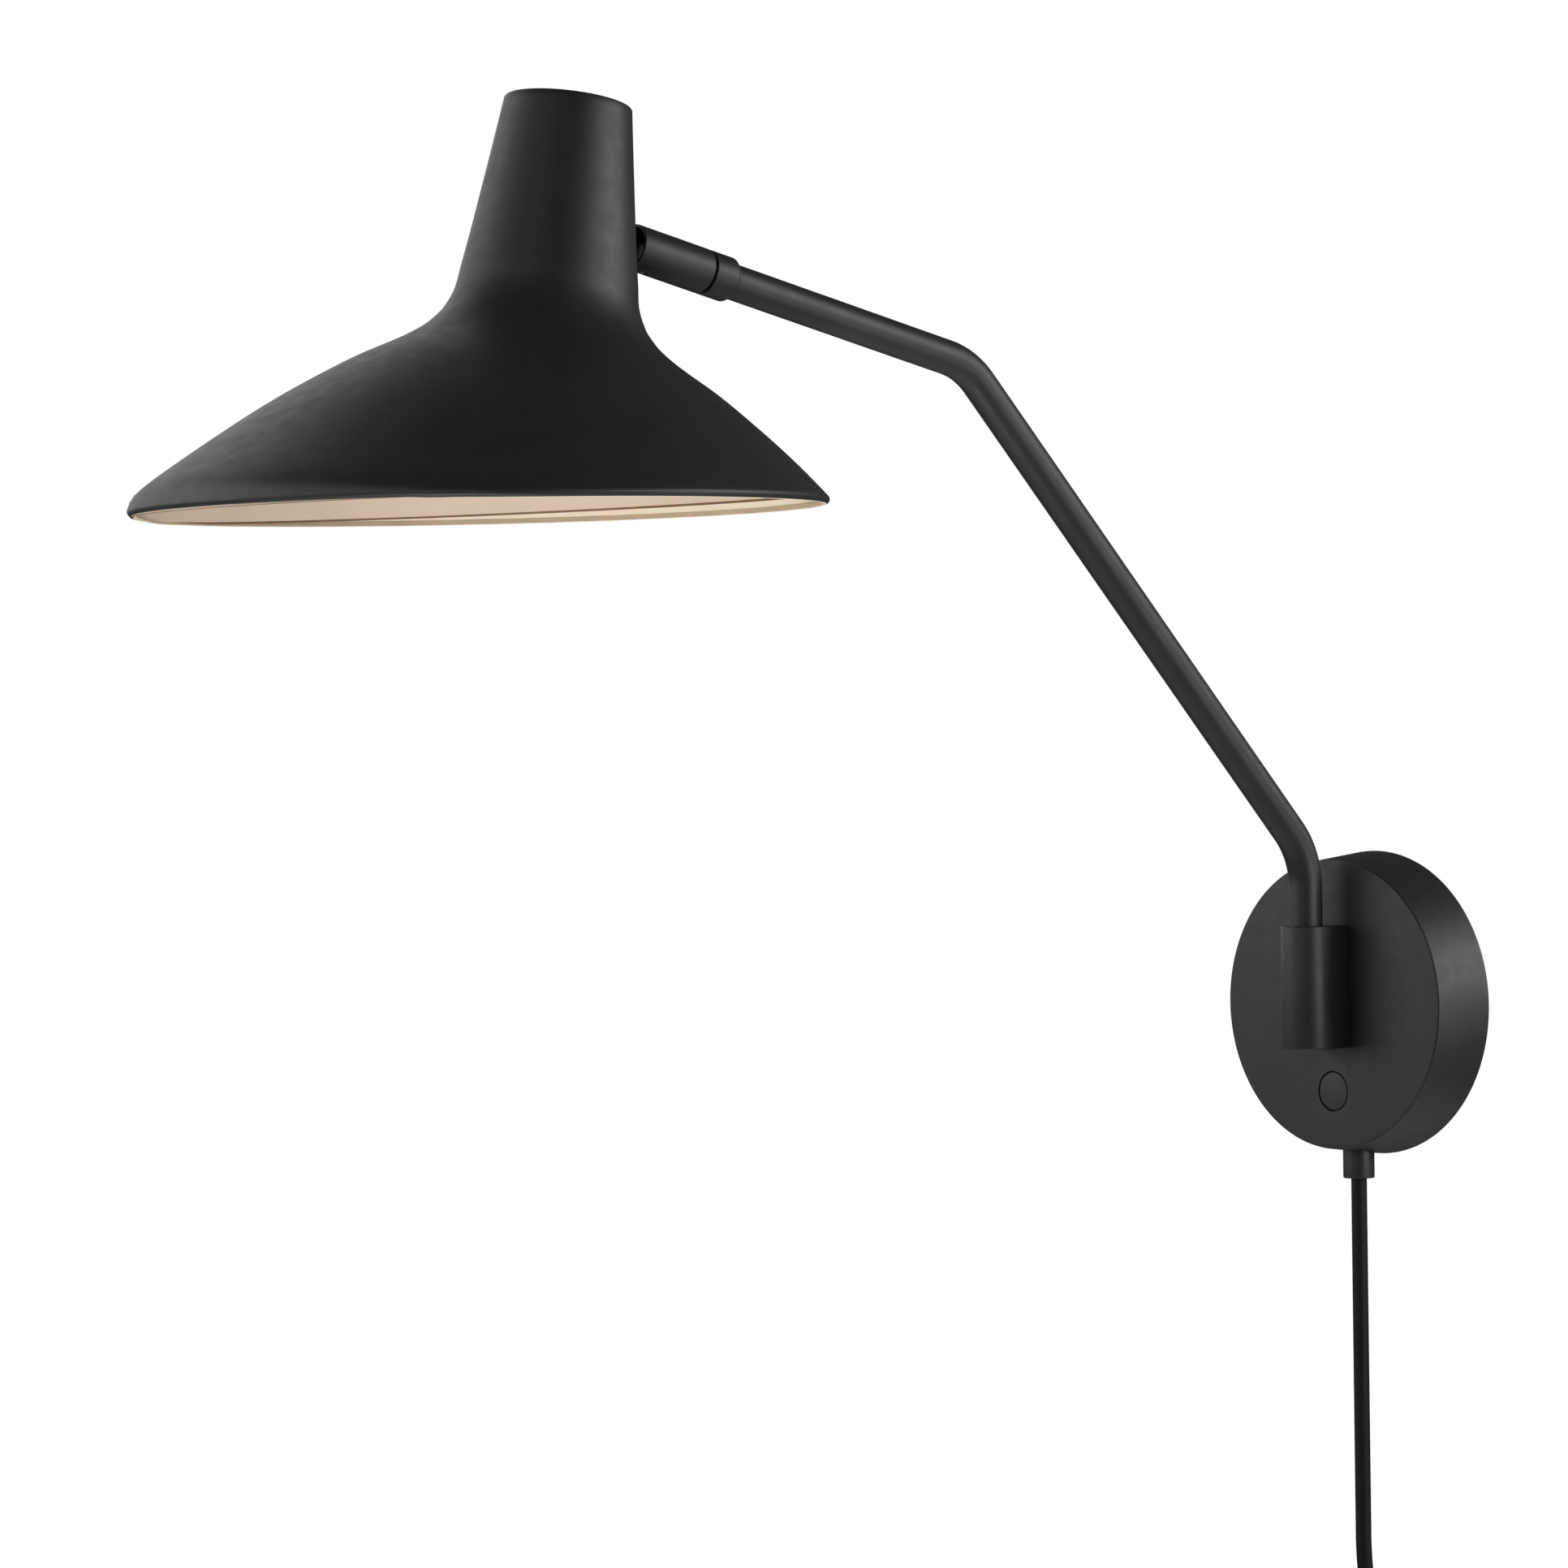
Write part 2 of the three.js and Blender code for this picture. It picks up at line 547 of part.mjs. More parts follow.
function shadeShell() {
  const side = shadeCurve();
  const edge = [0, 1, 2].map((i) => {
    const angle = (i * Math.PI) / 6;
    const radius = NECK_TOP_RADIUS - NECK_EDGE_RADIUS * (1 - Math.sin(angle));
    return [radius, NECK_EDGE_RADIUS * (1 - Math.cos(angle)) - NECK_RISE];
  });
  const inner = inset(side, SHADE_WALL).reverse();
  const ceiling = SHADE_WALL - NECK_RISE;
  const innerTop = [[inner[inner.length - 1][0], ceiling + 0.4], [0, ceiling]];
  const outline = [[0, -NECK_RISE], ...edge, ...side, ...inner.slice(0, -1), ...innerTop];
  const body = turned(outline.map(asTurned), SHADE_SIDES);
  const slot = carried(box(7, 14, 21, 0, 6, -1), pinFrame, headFrame);
  const screwHole = (z) => carried(facingOut(rod(1.8, -12, 0, 10)).translate(0, 0, z), pinFrame, headFrame);
  const screwHoles = BRACKET_SCREWS.map(screwHole);
  return cut(body, rimCutter(0, 0), slot, ...screwHoles);
}

function shadeLiner() {
  const start = LINER_TOP_DEPTH + 3;
  const side = shadeCurve().filter(([, depth]) => depth > start);
  const outer = inset(side, SHADE_WALL + LINER_GAP);
  const inner = inset(side, SHADE_WALL + LINER_GAP + LINER_WALL).reverse();
  const hole = HOLDER_RADIUS + 0.4;
  const flange = radiusAt(shadeCurve(), LINER_TOP_DEPTH) - SHADE_WALL - 2 * LINER_GAP;
  const top = [[hole, LINER_TOP_DEPTH], [flange, LINER_TOP_DEPTH]];
  const bottom = LINER_TOP_DEPTH + LINER_WALL;
  const underside = [[flange - LINER_WALL, bottom], [hole, bottom]];
  const outline = [...top, ...outer, ...inner, ...underside, top[0]];
  return cut(turned(outline.map(asTurned), SHADE_SIDES), rimCutter(LINER_EDGE_TILT, LINER_EDGE_LIFT));
}

place("shade_shell", shadeShell(), BLACK_PAINT, headFrame);
place("shade_liner", shadeLiner(), CREAM_PAINT, headFrame);

// ---------------------------------------------------------------- tilt bracket inside the neck

function tiltBracket() {
  const plate = box(18, 1.6, 33, 0, PLATE_FROM_PIN, -0.5);
  const slot = box(2 * CHEEK_INNER, 4, 15.5, 0, PLATE_FROM_PIN, 0);
  const boltNotches = [-8.35, 8.35].map((x) => box(6, 4, 9.5, x, PLATE_FROM_PIN, 0));
  const cheeks = [-1, 1].map((side) => {
    const cheek = new THREE.Shape();
    cheek.moveTo(PLATE_FROM_PIN, -5.5);
    cheek.lineTo(PLATE_FROM_PIN, 5.5);
    cheek.lineTo(0, 5.5);
    cheek.absarc(0, 0, 5.5, Math.PI / 2, 1.5 * Math.PI, false);
    cheek.closePath();
    const middle = (side * (CHEEK_INNER + CHEEK_OUTER)) / 2;
    const half = (CHEEK_OUTER - CHEEK_INNER) / 2;
    // The shape's x is the world's y here.
    return extruded(cheek, -half, half, 6).rotateX(Math.PI / 2).rotateZ(Math.PI / 2).translate(middle, 0, 0);
  });
  const leg = carried(box(18, 32.5, 1.6, 0, 7, -HOLDER_LEG_DEPTH - 0.8), headFrame, pinFrame);
  const boltHole = alongX(rod(TILT_BOLT_RADIUS + 0.25, -8, 8, 14));
  const screwHoles = BRACKET_SCREWS.map((z) => facingOut(rod(1.6, -6, 2, 12)).translate(0, 0, z));
  const nippleHole = carried(rod(NIPPLE_RADIUS + 0.25, -40, -20, 18), headFrame, pinFrame);
  return cut(join(cut(plate, slot, ...boltNotches), ...cheeks, leg), boltHole, ...screwHoles, nippleHole);
}

place("tilt_bracket", tiltBracket(), STEEL, pinFrame);
const boltHeadSide = CHEEK_OUTER + FIT_GAP + 2.4;
const tiltBolt = alongX(screw(3.3, 2.4, TILT_BOLT_RADIUS, 16.4)).translate(boltHeadSide, 0, 0);
place("tilt_bolt", tiltBolt, STEEL, pinFrame);
const tiltNut = alongX(hexNut(6.4, TILT_BOLT_RADIUS + 0.25, -2.6, 0)).translate(2.4 - boltHeadSide, 0, 0);
place("tilt_nut", tiltNut, STEEL, pinFrame);
[-1, 1].forEach((side) => {
  const washer = alongX(ring(TILT_BOLT_RADIUS + 0.25, 4.4, -0.25, 0.25, 18)).translate(side * 3.05, 0, 0);
  place(side < 0 ? "tilt_washer_left" : "tilt_washer_right", washer, BLACK_PLASTIC, pinFrame);
});
BRACKET_SCREWS.forEach((z, i) => {
  const bolt = screw(2.8, 1.2, 1.3, 8.2).rotateX(-Math.PI / 2).translate(0, NECK_SCREW_TOPS[i], z);
  place(["neck_screw_upper", "neck_screw_lower"][i], bolt, BLACK_PAINT, pinFrame);
});

// ---------------------------------------------------------------- lamp holder and bulb

const capOutline = [
  [NIPPLE_RADIUS + 0.25, 32], [8, 32], [12.5, 35], [HOLDER_RADIUS, 40], [HOLDER_RADIUS, HOLDER_SPLIT_DEPTH],
  [12.6, HOLDER_SPLIT_DEPTH], [12.6, 40.5], [11, 37], [NIPPLE_RADIUS + 0.25, 35], [NIPPLE_RADIUS + 0.25, 32],
];
const skirtOutline = [
  [12.6, HOLDER_SPLIT_DEPTH + FIT_GAP], [HOLDER_RADIUS, HOLDER_SPLIT_DEPTH + FIT_GAP], [HOLDER_RADIUS, 69.6],
  [17, 69.6], [17, LINER_TOP_DEPTH - FIT_GAP], [HOLDER_RADIUS, LINER_TOP_DEPTH - FIT_GAP],
  [HOLDER_RADIUS, HOLDER_END_DEPTH], [12, HOLDER_END_DEPTH], [12, 62], [12.6, 60],
  [12.6, HOLDER_SPLIT_DEPTH + FIT_GAP],
];
place("holder_nipple", ring(NIPPLE_BORE, NIPPLE_RADIUS, -38.5, -25, 16), STEEL, headFrame);
place("holder_locknut", hexNut(12, NIPPLE_RADIUS + 0.2, -29.6, -26.4), STEEL, headFrame);
place("holder_cap", turned(capOutline.map(asTurned), 16), WHITE_PLASTIC, headFrame);
place("holder_skirt", turned(skirtOutline.map(asTurned), 16), WHITE_PLASTIC, headFrame);
const ringTop = LINER_TOP_DEPTH + LINER_WALL + FIT_GAP;
place("holder_ring", ring(HOLDER_RADIUS + 0.3, 18.5, -ringTop - 4, -ringTop, 18), WHITE_PLASTIC, headFrame);
place("contact_insert", rod(12.2, -56, -51, 20), WHITE_PLASTIC, headFrame);

const bulbCapOutline = [[0, 56.4], [3, 56.4], [4.2, 58.6], [6.8, 59.4], [6.8, 79.4], [0, 79.4]];
const bulbBodyOutline = [[0, 79.7], [8, 79.7], [12, 86], [18.5, 98], [0, 98]];
const globe = [[0, 98.3]];
for (let i = 0; i <= 7; i += 1) {
  const start = Math.asin(11.7 / BULB_RADIUS);
  const angle = -start + ((Math.PI / 2 + start) * i) / 7;
  globe.push([BULB_RADIUS * Math.cos(angle), BULB_CENTRE_DEPTH + BULB_RADIUS * Math.sin(angle)]);
}
place("bulb_cap", turned(bulbCapOutline.map(asTurned), 18), STEEL, headFrame);
place("bulb_body", turned(bulbBodyOutline.map(asTurned), 20), WHITE_PLASTIC, headFrame);
place("bulb_globe", turned(globe.map(asTurned), 20), WHITE_PLASTIC, headFrame);

// ---------------------------------------------------------------- switch and wiring in the canopy

const buttonOutline = [
  [0, CANOPY_DEPTH - 0.2], [BUTTON_RADIUS - 0.6, CANOPY_DEPTH], [BUTTON_RADIUS, CANOPY_DEPTH - 0.5],
  [BUTTON_RADIUS, 23.2], [8.7, 23.2], [8.7, 22], [3.4, 22], [3.4, 14], [0, 14],
];
place("switch_button", facingOut(turned(buttonOutline, 20)).translate(0, 0, BUTTON_HEIGHT), BLACK_PAINT);
place("switch_spring", facingOut(ring(4.2, 5.6, 16.3, 19.7, 16)).translate(0, 0, BUTTON_HEIGHT), STEEL);

function switchModule() {
  const body = box(22, 12, 16, 0, -10, BUTTON_HEIGHT);
  const ears = box(35, 1.8, 7, 0, -15.1, BUTTON_HEIGHT);
  const bore = facingOut(rod(3.9, 10, 20, 18)).translate(0, 0, BUTTON_HEIGHT);
  const earHoles = SWITCH_POSTS.map((x) => facingOut(rod(1.6, 12, 18, 10)).translate(x, 0, BUTTON_HEIGHT));
  return cut(join(body, ears), bore, ...earHoles);
}

place("switch_module", switchModule(), BLACK_PLASTIC);
SWITCH_POSTS.forEach((x, i) => {
  const bolt = facingOut(screw(2.5, 1.6, 1.1, 7).rotateX(Math.PI)).translate(x, -12.2, BUTTON_HEIGHT);
  place(["switch_screw_left", "switch_screw_right"][i], bolt, STEEL);
});

function terminalBlock() {
  const body = box(26, 12, 15, 0, -10, TERMINAL_HEIGHT);
  const wells = [-7, 7].map((x) => facingOut(rod(2.4, 12, 20, 12)).translate(x, 0, TERMINAL_HEIGHT));
  const ways = [-7, 7].map((x) => rod(1.6, -20, 20, 10).translate(x, -8.5, TERMINAL_HEIGHT));
  const middle = facingOut(rod(1.9, 2, 20, 12)).translate(0, 0, TERMINAL_HEIGHT);
  return cut(body, ...wells, ...ways, middle);
}

place("terminal_block", terminalBlock(), WHITE_PLASTIC);
[-7, 7].forEach((x, i) => {
  const bolt = facingOut(screw(2.1, 2, 1.3, 3.6)).translate(x, -15.8, TERMINAL_HEIGHT);
  place(["terminal_screw_live", "terminal_screw_neutral"][i], bolt, BRASS);
});
const terminalScrew = facingOut(screw(2.9, 1.8, 1.4, 15.5)).translate(0, -18.2, TERMINAL_HEIGHT);
place("terminal_fixing_screw", terminalScrew, STEEL);

const supplyRoute = [
  [0, -11.5, -47.2], [-3, -11, -45.8], [-9, -10, -45.3], [-15, -9, -44], [-21, -8, -38], [-24, -8, -28],
  [-24, -8, -12], [-20, -8, 4], [-11, -8, 17], [-7, -8.5, 23], [-7, -8.5, 28],
];
const canopyRoute = [
  [7, -8.5, 28], [7, -8.5, 23], [8, -10, 16], [6, -14, 10], [2, -19, 7.4], [0, -24, 7], [0, -31.6, 7],
];
[["supply_lead", supplyRoute], ["canopy_lead", canopyRoute]].forEach(([name, route]) => {
  place(name, swept(route.map((point) => new THREE.Vector3(...point)), 2.2, 8), BLACK_PLASTIC);
});

// ---------------------------------------------------------------- cord, grip, coil and plug

const gripTop = -canopyRadius(CORD_FROM_WALL - GRIP_RADIUS) - 0.1;
const gripEnd = gripTop - GRIP_LENGTH;
const gripOutline = [
  [3.4, -48], [4.1, -48], [4.1, gripTop], [GRIP_RADIUS, gripTop], [GRIP_RADIUS, gripEnd + 1.2],
  [GRIP_RADIUS - 1.2, gripEnd], [3.4, gripEnd], [3.4, -48],
];
place("cord_grip", turned(gripOutline, 16).translate(0, -CORD_FROM_WALL, 0), BLACK_PLASTIC);
place("cord_grip_nut", hexNut(13, 4.3, -55.4, -51.4).translate(0, -CORD_FROM_WALL, 0), BLACK_PLASTIC);

const cordRadius = CORD_DIAMETER / 2;
const coilMiddle = [COIL_X, -COIL_FROM_WALL, COIL_CENTRE_HEIGHT];

function coilRing() {
  const [wide, deep, chamfer] = [COIL_ACROSS / 2, COIL_ALONG / 2, 2];
  const corners = [
    [-wide, chamfer - deep], [chamfer - wide, -deep], [wide - chamfer, -deep], [wide, chamfer - deep],
    [wide, deep - chamfer], [wide - chamfer, deep], [chamfer - wide, deep], [-wide, deep - chamfer],
  ];
  const outline = [...corners, corners[0]].map(([across, along]) => [COIL_MIDDLE_RADIUS + across, along]);
  return facingOut(turned(outline, 24)).translate(...coilMiddle);
}

// Where a straight cord beside the coil comes clear of it, above or below its middle.
const coilOuter = COIL_MIDDLE_RADIUS + COIL_ACROSS / 2;
const coilSide = -COIL_X - cordRadius - FIT_GAP;
const clearOfCoil = Math.sqrt(coilOuter ** 2 - coilSide ** 2) + 0.4;

// Points from one height to another, straight down.
function straight(fromWall, top, bottom, steps) {
  const heights = Array.from({ length: steps + 1 }, (_, i) => THREE.MathUtils.lerp(top, bottom, i / steps));
  return heights.map((height) => new THREE.Vector3(0, -fromWall, height));
}

const [movesIn, ...lowerBends] = LEAD_BENDS;
const leadIn = lowerBends.map(([fromWall, height]) => new THREE.Vector3(0, -fromWall, height));
const lead = [...straight(CORD_FROM_WALL, gripEnd - FIT_GAP, movesIn[1], 10), ...leadIn];
const tail = straight(TAIL_FROM_WALL, COIL_CENTRE_HEIGHT - clearOfCoil, TAIL_END_HEIGHT, 4);
place("cord_lead", swept(lead, cordRadius, 10), CORD_TEXTILE);
place("cord_coil", coilRing(), CORD_TEXTILE);
place("cord_tail", swept(tail, cordRadius, 10), CORD_TEXTILE);

function coilTie() {
  const [clearance, thickness] = [1.4, 1.8];
  const [wide, deep] = [COIL_ACROSS + clearance, COIL_ALONG + clearance];
  const strap = cut(box(wide + thickness, deep + thickness, 8, 0, 0, 0), box(wide, deep, 10, 0, 0, 0));
  return strap.translate(...coilMiddle).translate(-COIL_MIDDLE_RADIUS, 0, 0);
}

place("cord_tie", coilTie(), BLACK_PLASTIC);

const reliefTop = TAIL_END_HEIGHT - FIT_GAP;
const reliefEnd = reliefTop - 25;
const reliefOutline = [
  [0, reliefTop], [4.2, reliefTop], [5, reliefTop - 8], [6.4, reliefEnd], [0, reliefEnd],
];
place("plug_strain_relief", turned(reliefOutline, 20).translate(0, -TAIL_FROM_WALL, 0), BLACK_PLASTIC);

const plugTop = reliefEnd - FIT_GAP;
const PLUG_LENGTH = 35;
const PIN_PITCH = 18.6;

function plugBody() {
  const outline = new THREE.Shape();
  outline.moveTo(-7, 0);
  outline.lineTo(7, 0);
  outline.quadraticCurveTo(13, -6, 14, -16);
  outline.lineTo(17.6, -30);
  outline.lineTo(17.6, -PLUG_LENGTH);
  outline.lineTo(-17.6, -PLUG_LENGTH);
  outline.lineTo(-17.6, -30);
  outline.lineTo(-14, -16);
  outline.quadraticCurveTo(-13, -6, -7, 0);
  const slab = extruded(outline, -6.8, 6.8, 5).rotateX(Math.PI / 2);
  return slab.translate(0, -TAIL_FROM_WALL, plugTop);
}

place("plug_body", plugBody(), BLACK_PLASTIC);
[-1, 1].forEach((side) => {
  const from = plugTop - PLUG_LENGTH - FIT_GAP;
  const pinOutline = [[0, from], [2, from], [2, from - 17.5], [1.2, from - 19], [0, from - 19]];
  const pin = turned(pinOutline, 14).translate((side * PIN_PITCH) / 2, -TAIL_FROM_WALL, 0);
  place(side < 0 ? "plug_pin_left" : "plug_pin_right", pin, STEEL);
});

export default lamp;
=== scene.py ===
"""Swing arm wall sconce: the looks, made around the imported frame.

Metres, +Z up. The wall is the plane y = 0 and the lamp reaches out along -Y.
"""

import json
import math

import bmesh
import bpy
from mathutils import Matrix, Vector


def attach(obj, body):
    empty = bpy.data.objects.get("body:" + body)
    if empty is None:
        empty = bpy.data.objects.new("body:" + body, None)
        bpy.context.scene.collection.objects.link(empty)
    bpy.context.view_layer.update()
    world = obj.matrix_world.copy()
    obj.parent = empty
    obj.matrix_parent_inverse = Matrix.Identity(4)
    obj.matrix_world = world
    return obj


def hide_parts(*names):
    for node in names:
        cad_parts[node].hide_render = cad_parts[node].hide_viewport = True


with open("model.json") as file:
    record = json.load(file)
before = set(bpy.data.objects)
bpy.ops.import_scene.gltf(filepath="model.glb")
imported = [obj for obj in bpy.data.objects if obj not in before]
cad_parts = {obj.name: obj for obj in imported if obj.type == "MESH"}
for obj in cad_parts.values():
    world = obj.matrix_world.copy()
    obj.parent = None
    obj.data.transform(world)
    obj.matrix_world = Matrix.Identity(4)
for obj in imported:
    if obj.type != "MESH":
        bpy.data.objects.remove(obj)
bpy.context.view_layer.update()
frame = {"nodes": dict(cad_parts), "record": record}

MM = 0.001
TURN = 2 * math.pi
FINE = 96       # sides of a large round piece
MEDIUM = 56
SMALL = 32


# ------------------------------------------------------------------ driving sizes, in millimetres

FIT_GAP = 0.3               # between pieces that touch
CORD_DIAMETER = 6.2
CANOPY_BACK_RADIUS = 60
CANOPY_FRONT_RADIUS = 57
CANOPY_DEPTH = 25.5
CANOPY_WALL = 1.6
CANOPY_FACE = 2
LOCK_SCREW_ANGLE = 240      # degrees from +X towards +Z, seen from the front
BRACKET_RADIUS = 52
BRACKET_THICKNESS = 2
HUB_RADIUS = 10
HUB_Y = -39.5
HUB_BOTTOM = -16.8
HUB_TOP = 31.2
HUB_BORE = 7.5
HUB_FLOOR = 4.5
LEAD_HOLE_HEIGHT = 7
TUBE_RADIUS = 6.5
LOWER_BEND_HEIGHT = 59.1
RISE_ANGLE = math.radians(46.5)
RISE_LENGTH = 256.2
REACH_ANGLE = math.radians(12.7)
REACH_LENGTH = 129.3
BEND_RADIUS = 32
SLEEVE_RADIUS = 8.2
SLEEVE_BORE = 7.2
SLEEVE_LENGTH = 33.6
COLLAR_LENGTH = 11.5
SEAM_GAP = 1
PIN_FROM_SEAM = 45.7
NECK_TILT = math.radians(8.8)
NECK_TOP_RADIUS = 22.5
NECK_EDGE_RADIUS = 0.6
NECK_RISE = 2
PIN_IN_HEAD = Vector((0, 22.3, -41.1))
RIM_DEPTH = 142.3
RIM_CUT_ANGLE = math.radians(9.4)
SHADE_WALL = 1.2
SHADE_OUTLINE = [  # radius, depth
    (22.6, -1.4), (25.3, 19), (29.1, 46.5), (31.2, 60), (32.2, 67), (33.9, 72), (35.9, 76), (38.7, 79.5),
    (42.1, 83), (47.4, 87), (54, 91.2), (68.2, 99.8), (90.6, 116), (109.7, 132), (127.1, 147.7),
    (132.2, 152.7), (134.4, 155), (135.6, 157.3), (136.2, 160), (136.4, 170),
]
BUTTON_HEIGHT = -34.2
SWITCH_POSTS = (-14, 14)
CORD_FROM_WALL = 11.5
COIL_HEIGHT = -275
LEAD_BENDS = [  # distance from the wall, height
    (11.5, -212), (10.9, -222), (9.6, -232), (8, -242), (6.7, -251), (5.9, -263),
]
TAIL_FROM_WALL = 24.4
TAIL_END = -345

rise = Vector((0, -math.cos(RISE_ANGLE), math.sin(RISE_ANGLE)))
reach = Vector((0, -math.cos(REACH_ANGLE), math.sin(REACH_ANGLE)))
lower_bend = Vector((0, HUB_Y, LOWER_BEND_HEIGHT))
upper_bend = lower_bend + rise * RISE_LENGTH
seam = upper_bend + reach * REACH_LENGTH
tilt_pin = seam + reach * PIN_FROM_SEAM

HEAD = Matrix.Rotation(-NECK_TILT, 4, "X")
HEAD = Matrix.Translation(tilt_pin - HEAD @ PIN_IN_HEAD) @ HEAD
SWIVEL = Matrix.Translation(seam) @ Matrix.Rotation(math.pi / 2 - REACH_ANGLE, 4, "X")
WALL_OUT = Matrix.Rotation(math.pi / 2, 4, "X")     # +Z becomes -Y, out of the wall
SIDEWAYS = Matrix.Rotation(math.pi / 2, 4, "Y")     # +Z becomes +X
UPRIGHT = Matrix.Identity(4)


def at(x, y, z, turned=UPRIGHT):
    """A piece's own frame, moved to a point in millimetres."""
    return Matrix.Translation((x, y, z)) @ turned


def round_the_canopy(degrees):
    """A turn about the canopy's axis, from +X towards +Z."""
    return Matrix.Rotation(-math.radians(degrees), 4, "Y")


# ------------------------------------------------------------------ camera

CAMERA_PLACE = Vector((1557.4, -1632, 95.3)) * MM
CAMERA_AZIMUTH = math.radians(49.61)
CAMERA_PITCH = math.radians(-0.15)
CAMERA_ROLL = math.radians(-0.75)


def make_camera():
    """A camera without shift, turned a little about its own axis."""
    forward = Vector((
        -math.sin(CAMERA_AZIMUTH) * math.cos(CAMERA_PITCH),
        math.cos(CAMERA_AZIMUTH) * math.cos(CAMERA_PITCH),
        math.sin(CAMERA_PITCH),
    ))
    level = Vector((math.cos(CAMERA_AZIMUTH), math.sin(CAMERA_AZIMUTH), 0))
    above = level.cross(forward)
    right = level * math.cos(CAMERA_ROLL) + above * math.sin(CAMERA_ROLL)
    up = above * math.cos(CAMERA_ROLL) - level * math.sin(CAMERA_ROLL)
    camera = bpy.data.objects.new("camera", bpy.data.cameras.new("camera"))
    camera.data.lens = 130
    camera.data.sensor_width = 36
    camera.data.clip_start = 0.05
    camera.data.clip_end = 30
    axes = Matrix((right, up, -forward)).transposed()
    camera.matrix_world = Matrix.Translation(CAMERA_PLACE) @ axes.to_4x4()
    bpy.context.scene.collection.objects.link(camera)
    bpy.context.scene.camera = camera


make_camera()


# ------------------------------------------------------------------ materials

def shader(name):
    """A new material, its tree, its shader and the piece's own coordinates."""
    material = bpy.data.materials.new(name)
    material.use_nodes = True
    tree = material.node_tree
    principled = tree.nodes["Principled BSDF"]
    coordinates = tree.nodes.new("ShaderNodeTexCoord")
    return material, tree, principled, coordinates.outputs["Object"]


def noise(tree, place, grain_mm, detail):
    """Noise whose features are about grain_mm across."""
    node = tree.nodes.new("ShaderNodeTexNoise")
    node.inputs["Scale"].default_value = 1 / (grain_mm * MM)
    node.inputs["Detail"].default_value = detail
    tree.links.new(place, node.inputs["Vector"])
    return node.outputs["Fac"]


def remap(tree, value, low, high):
    """Spreads the middle of a noise's range from low to high."""
    node = tree.nodes.new("ShaderNodeMapRange")
    node.inputs["From Min"].default_value = 0.3
    node.inputs["From Max"].default_value = 0.7
    node.inputs["To Min"].default_value = low
    node.inputs["To Max"].default_value = high
    tree.links.new(value, node.inputs["Value"])
    return node.outputs["Result"]


def blend_colours(tree, value, dark, light):
    """A colour between dark and light, by the value of a noise."""
    node = tree.nodes.new("ShaderNodeMix")
    node.data_type = "RGBA"
    node.inputs["A"].default_value = (*dark, 1)
    node.inputs["B"].default_value = (*light, 1)
    tree.links.new(remap(tree, value, 0, 1), node.inputs["Factor"])
    return node.outputs["Result"]


def bumped(tree, principled, layers):
    """Chains bump layers of (height socket, depth in mm)."""
    normal = None
    for height, depth in layers:
        node = tree.nodes.new("ShaderNodeBump")
        node.inputs["Strength"].default_value = 1
        node.inputs["Distance"].default_value = depth * MM
        tree.links.new(height, node.inputs["Height"])
        if normal:
            tree.links.new(normal, node.inputs["Normal"])
        normal = node.outputs["Normal"]
    tree.links.new(normal, principled.inputs["Normal"])


def surface(name, dark, light, rough, grains, metal=0.0, specular=0.5, cloud_mm=18):
    """A finish with clouded colour, uneven gloss and bump from grains of (size, depth) in mm."""
    material, tree, principled, place = shader(name)
    cloud = noise(tree, place, cloud_mm, 3)
    tree.links.new(blend_colours(tree, cloud, dark, light), principled.inputs["Base Color"])
    uneven = noise(tree, place, cloud_mm * 0.35, 4)
    tree.links.new(remap(tree, uneven, *rough), principled.inputs["Roughness"])
    principled.inputs["Metallic"].default_value = metal
    principled.inputs["Specular IOR Level"].default_value = specular
    bumped(tree, principled, [(noise(tree, place, size, 2), depth) for size, depth in grains])
    return material


POWDER = surface(
    "black_powder_coat", (0.013, 0.013, 0.0132), (0.017, 0.017, 0.0173), (0.44, 0.52),
    [(1.3, 0.008), (0.6, 0.012)],
)
# The shell's inside and the liner carry the same cream paint. The liner's copy below is darker and the
# shell's copy lighter, and the difference between them is painted shade and painted light.
CREAM = surface(
    "cream_paint", (0.94, 0.83, 0.67), (0.97, 0.87, 0.71), (0.5, 0.62),
    [(0.9, 0.01), (0.4, 0.008)], specular=0.35, cloud_mm=30,
)
CREAM_PAINTED_SHADE = surface(
    "cream_paint_painted_shade", (0.70, 0.565, 0.445), (0.75, 0.61, 0.485), (0.5, 0.62),
    [(0.9, 0.01), (0.4, 0.008)], specular=0.35, cloud_mm=30,
)
STEEL = surface(
    "zinc_plated_steel", (0.42, 0.43, 0.45), (0.56, 0.57, 0.58), (0.28, 0.42),
    [(0.5, 0.006)], metal=1.0, cloud_mm=9,
)
BRASS = surface(
    "brass", (0.60, 0.42, 0.15), (0.72, 0.52, 0.2), (0.25, 0.4),
    [(0.5, 0.005)], metal=1.0, cloud_mm=8,
)
BLACK_PLASTIC = surface(
    "black_moulded_plastic", (0.016, 0.016, 0.017), (0.021, 0.021, 0.022), (0.42, 0.56),
    [(0.35, 0.012)], cloud_mm=10,
)
WHITE_PLASTIC = surface(
    "white_moulded_plastic", (0.72, 0.71, 0.68), (0.80, 0.79, 0.76), (0.34, 0.46),
    [(0.4, 0.008)], cloud_mm=12,
)
CORD_SHEATH = surface(
    "cord_sheath", (0.006, 0.0055, 0.0055), (0.009, 0.0085, 0.0085), (0.5, 0.62),
    [(0.5, 0.02)], specular=0.2, cloud_mm=14,
)
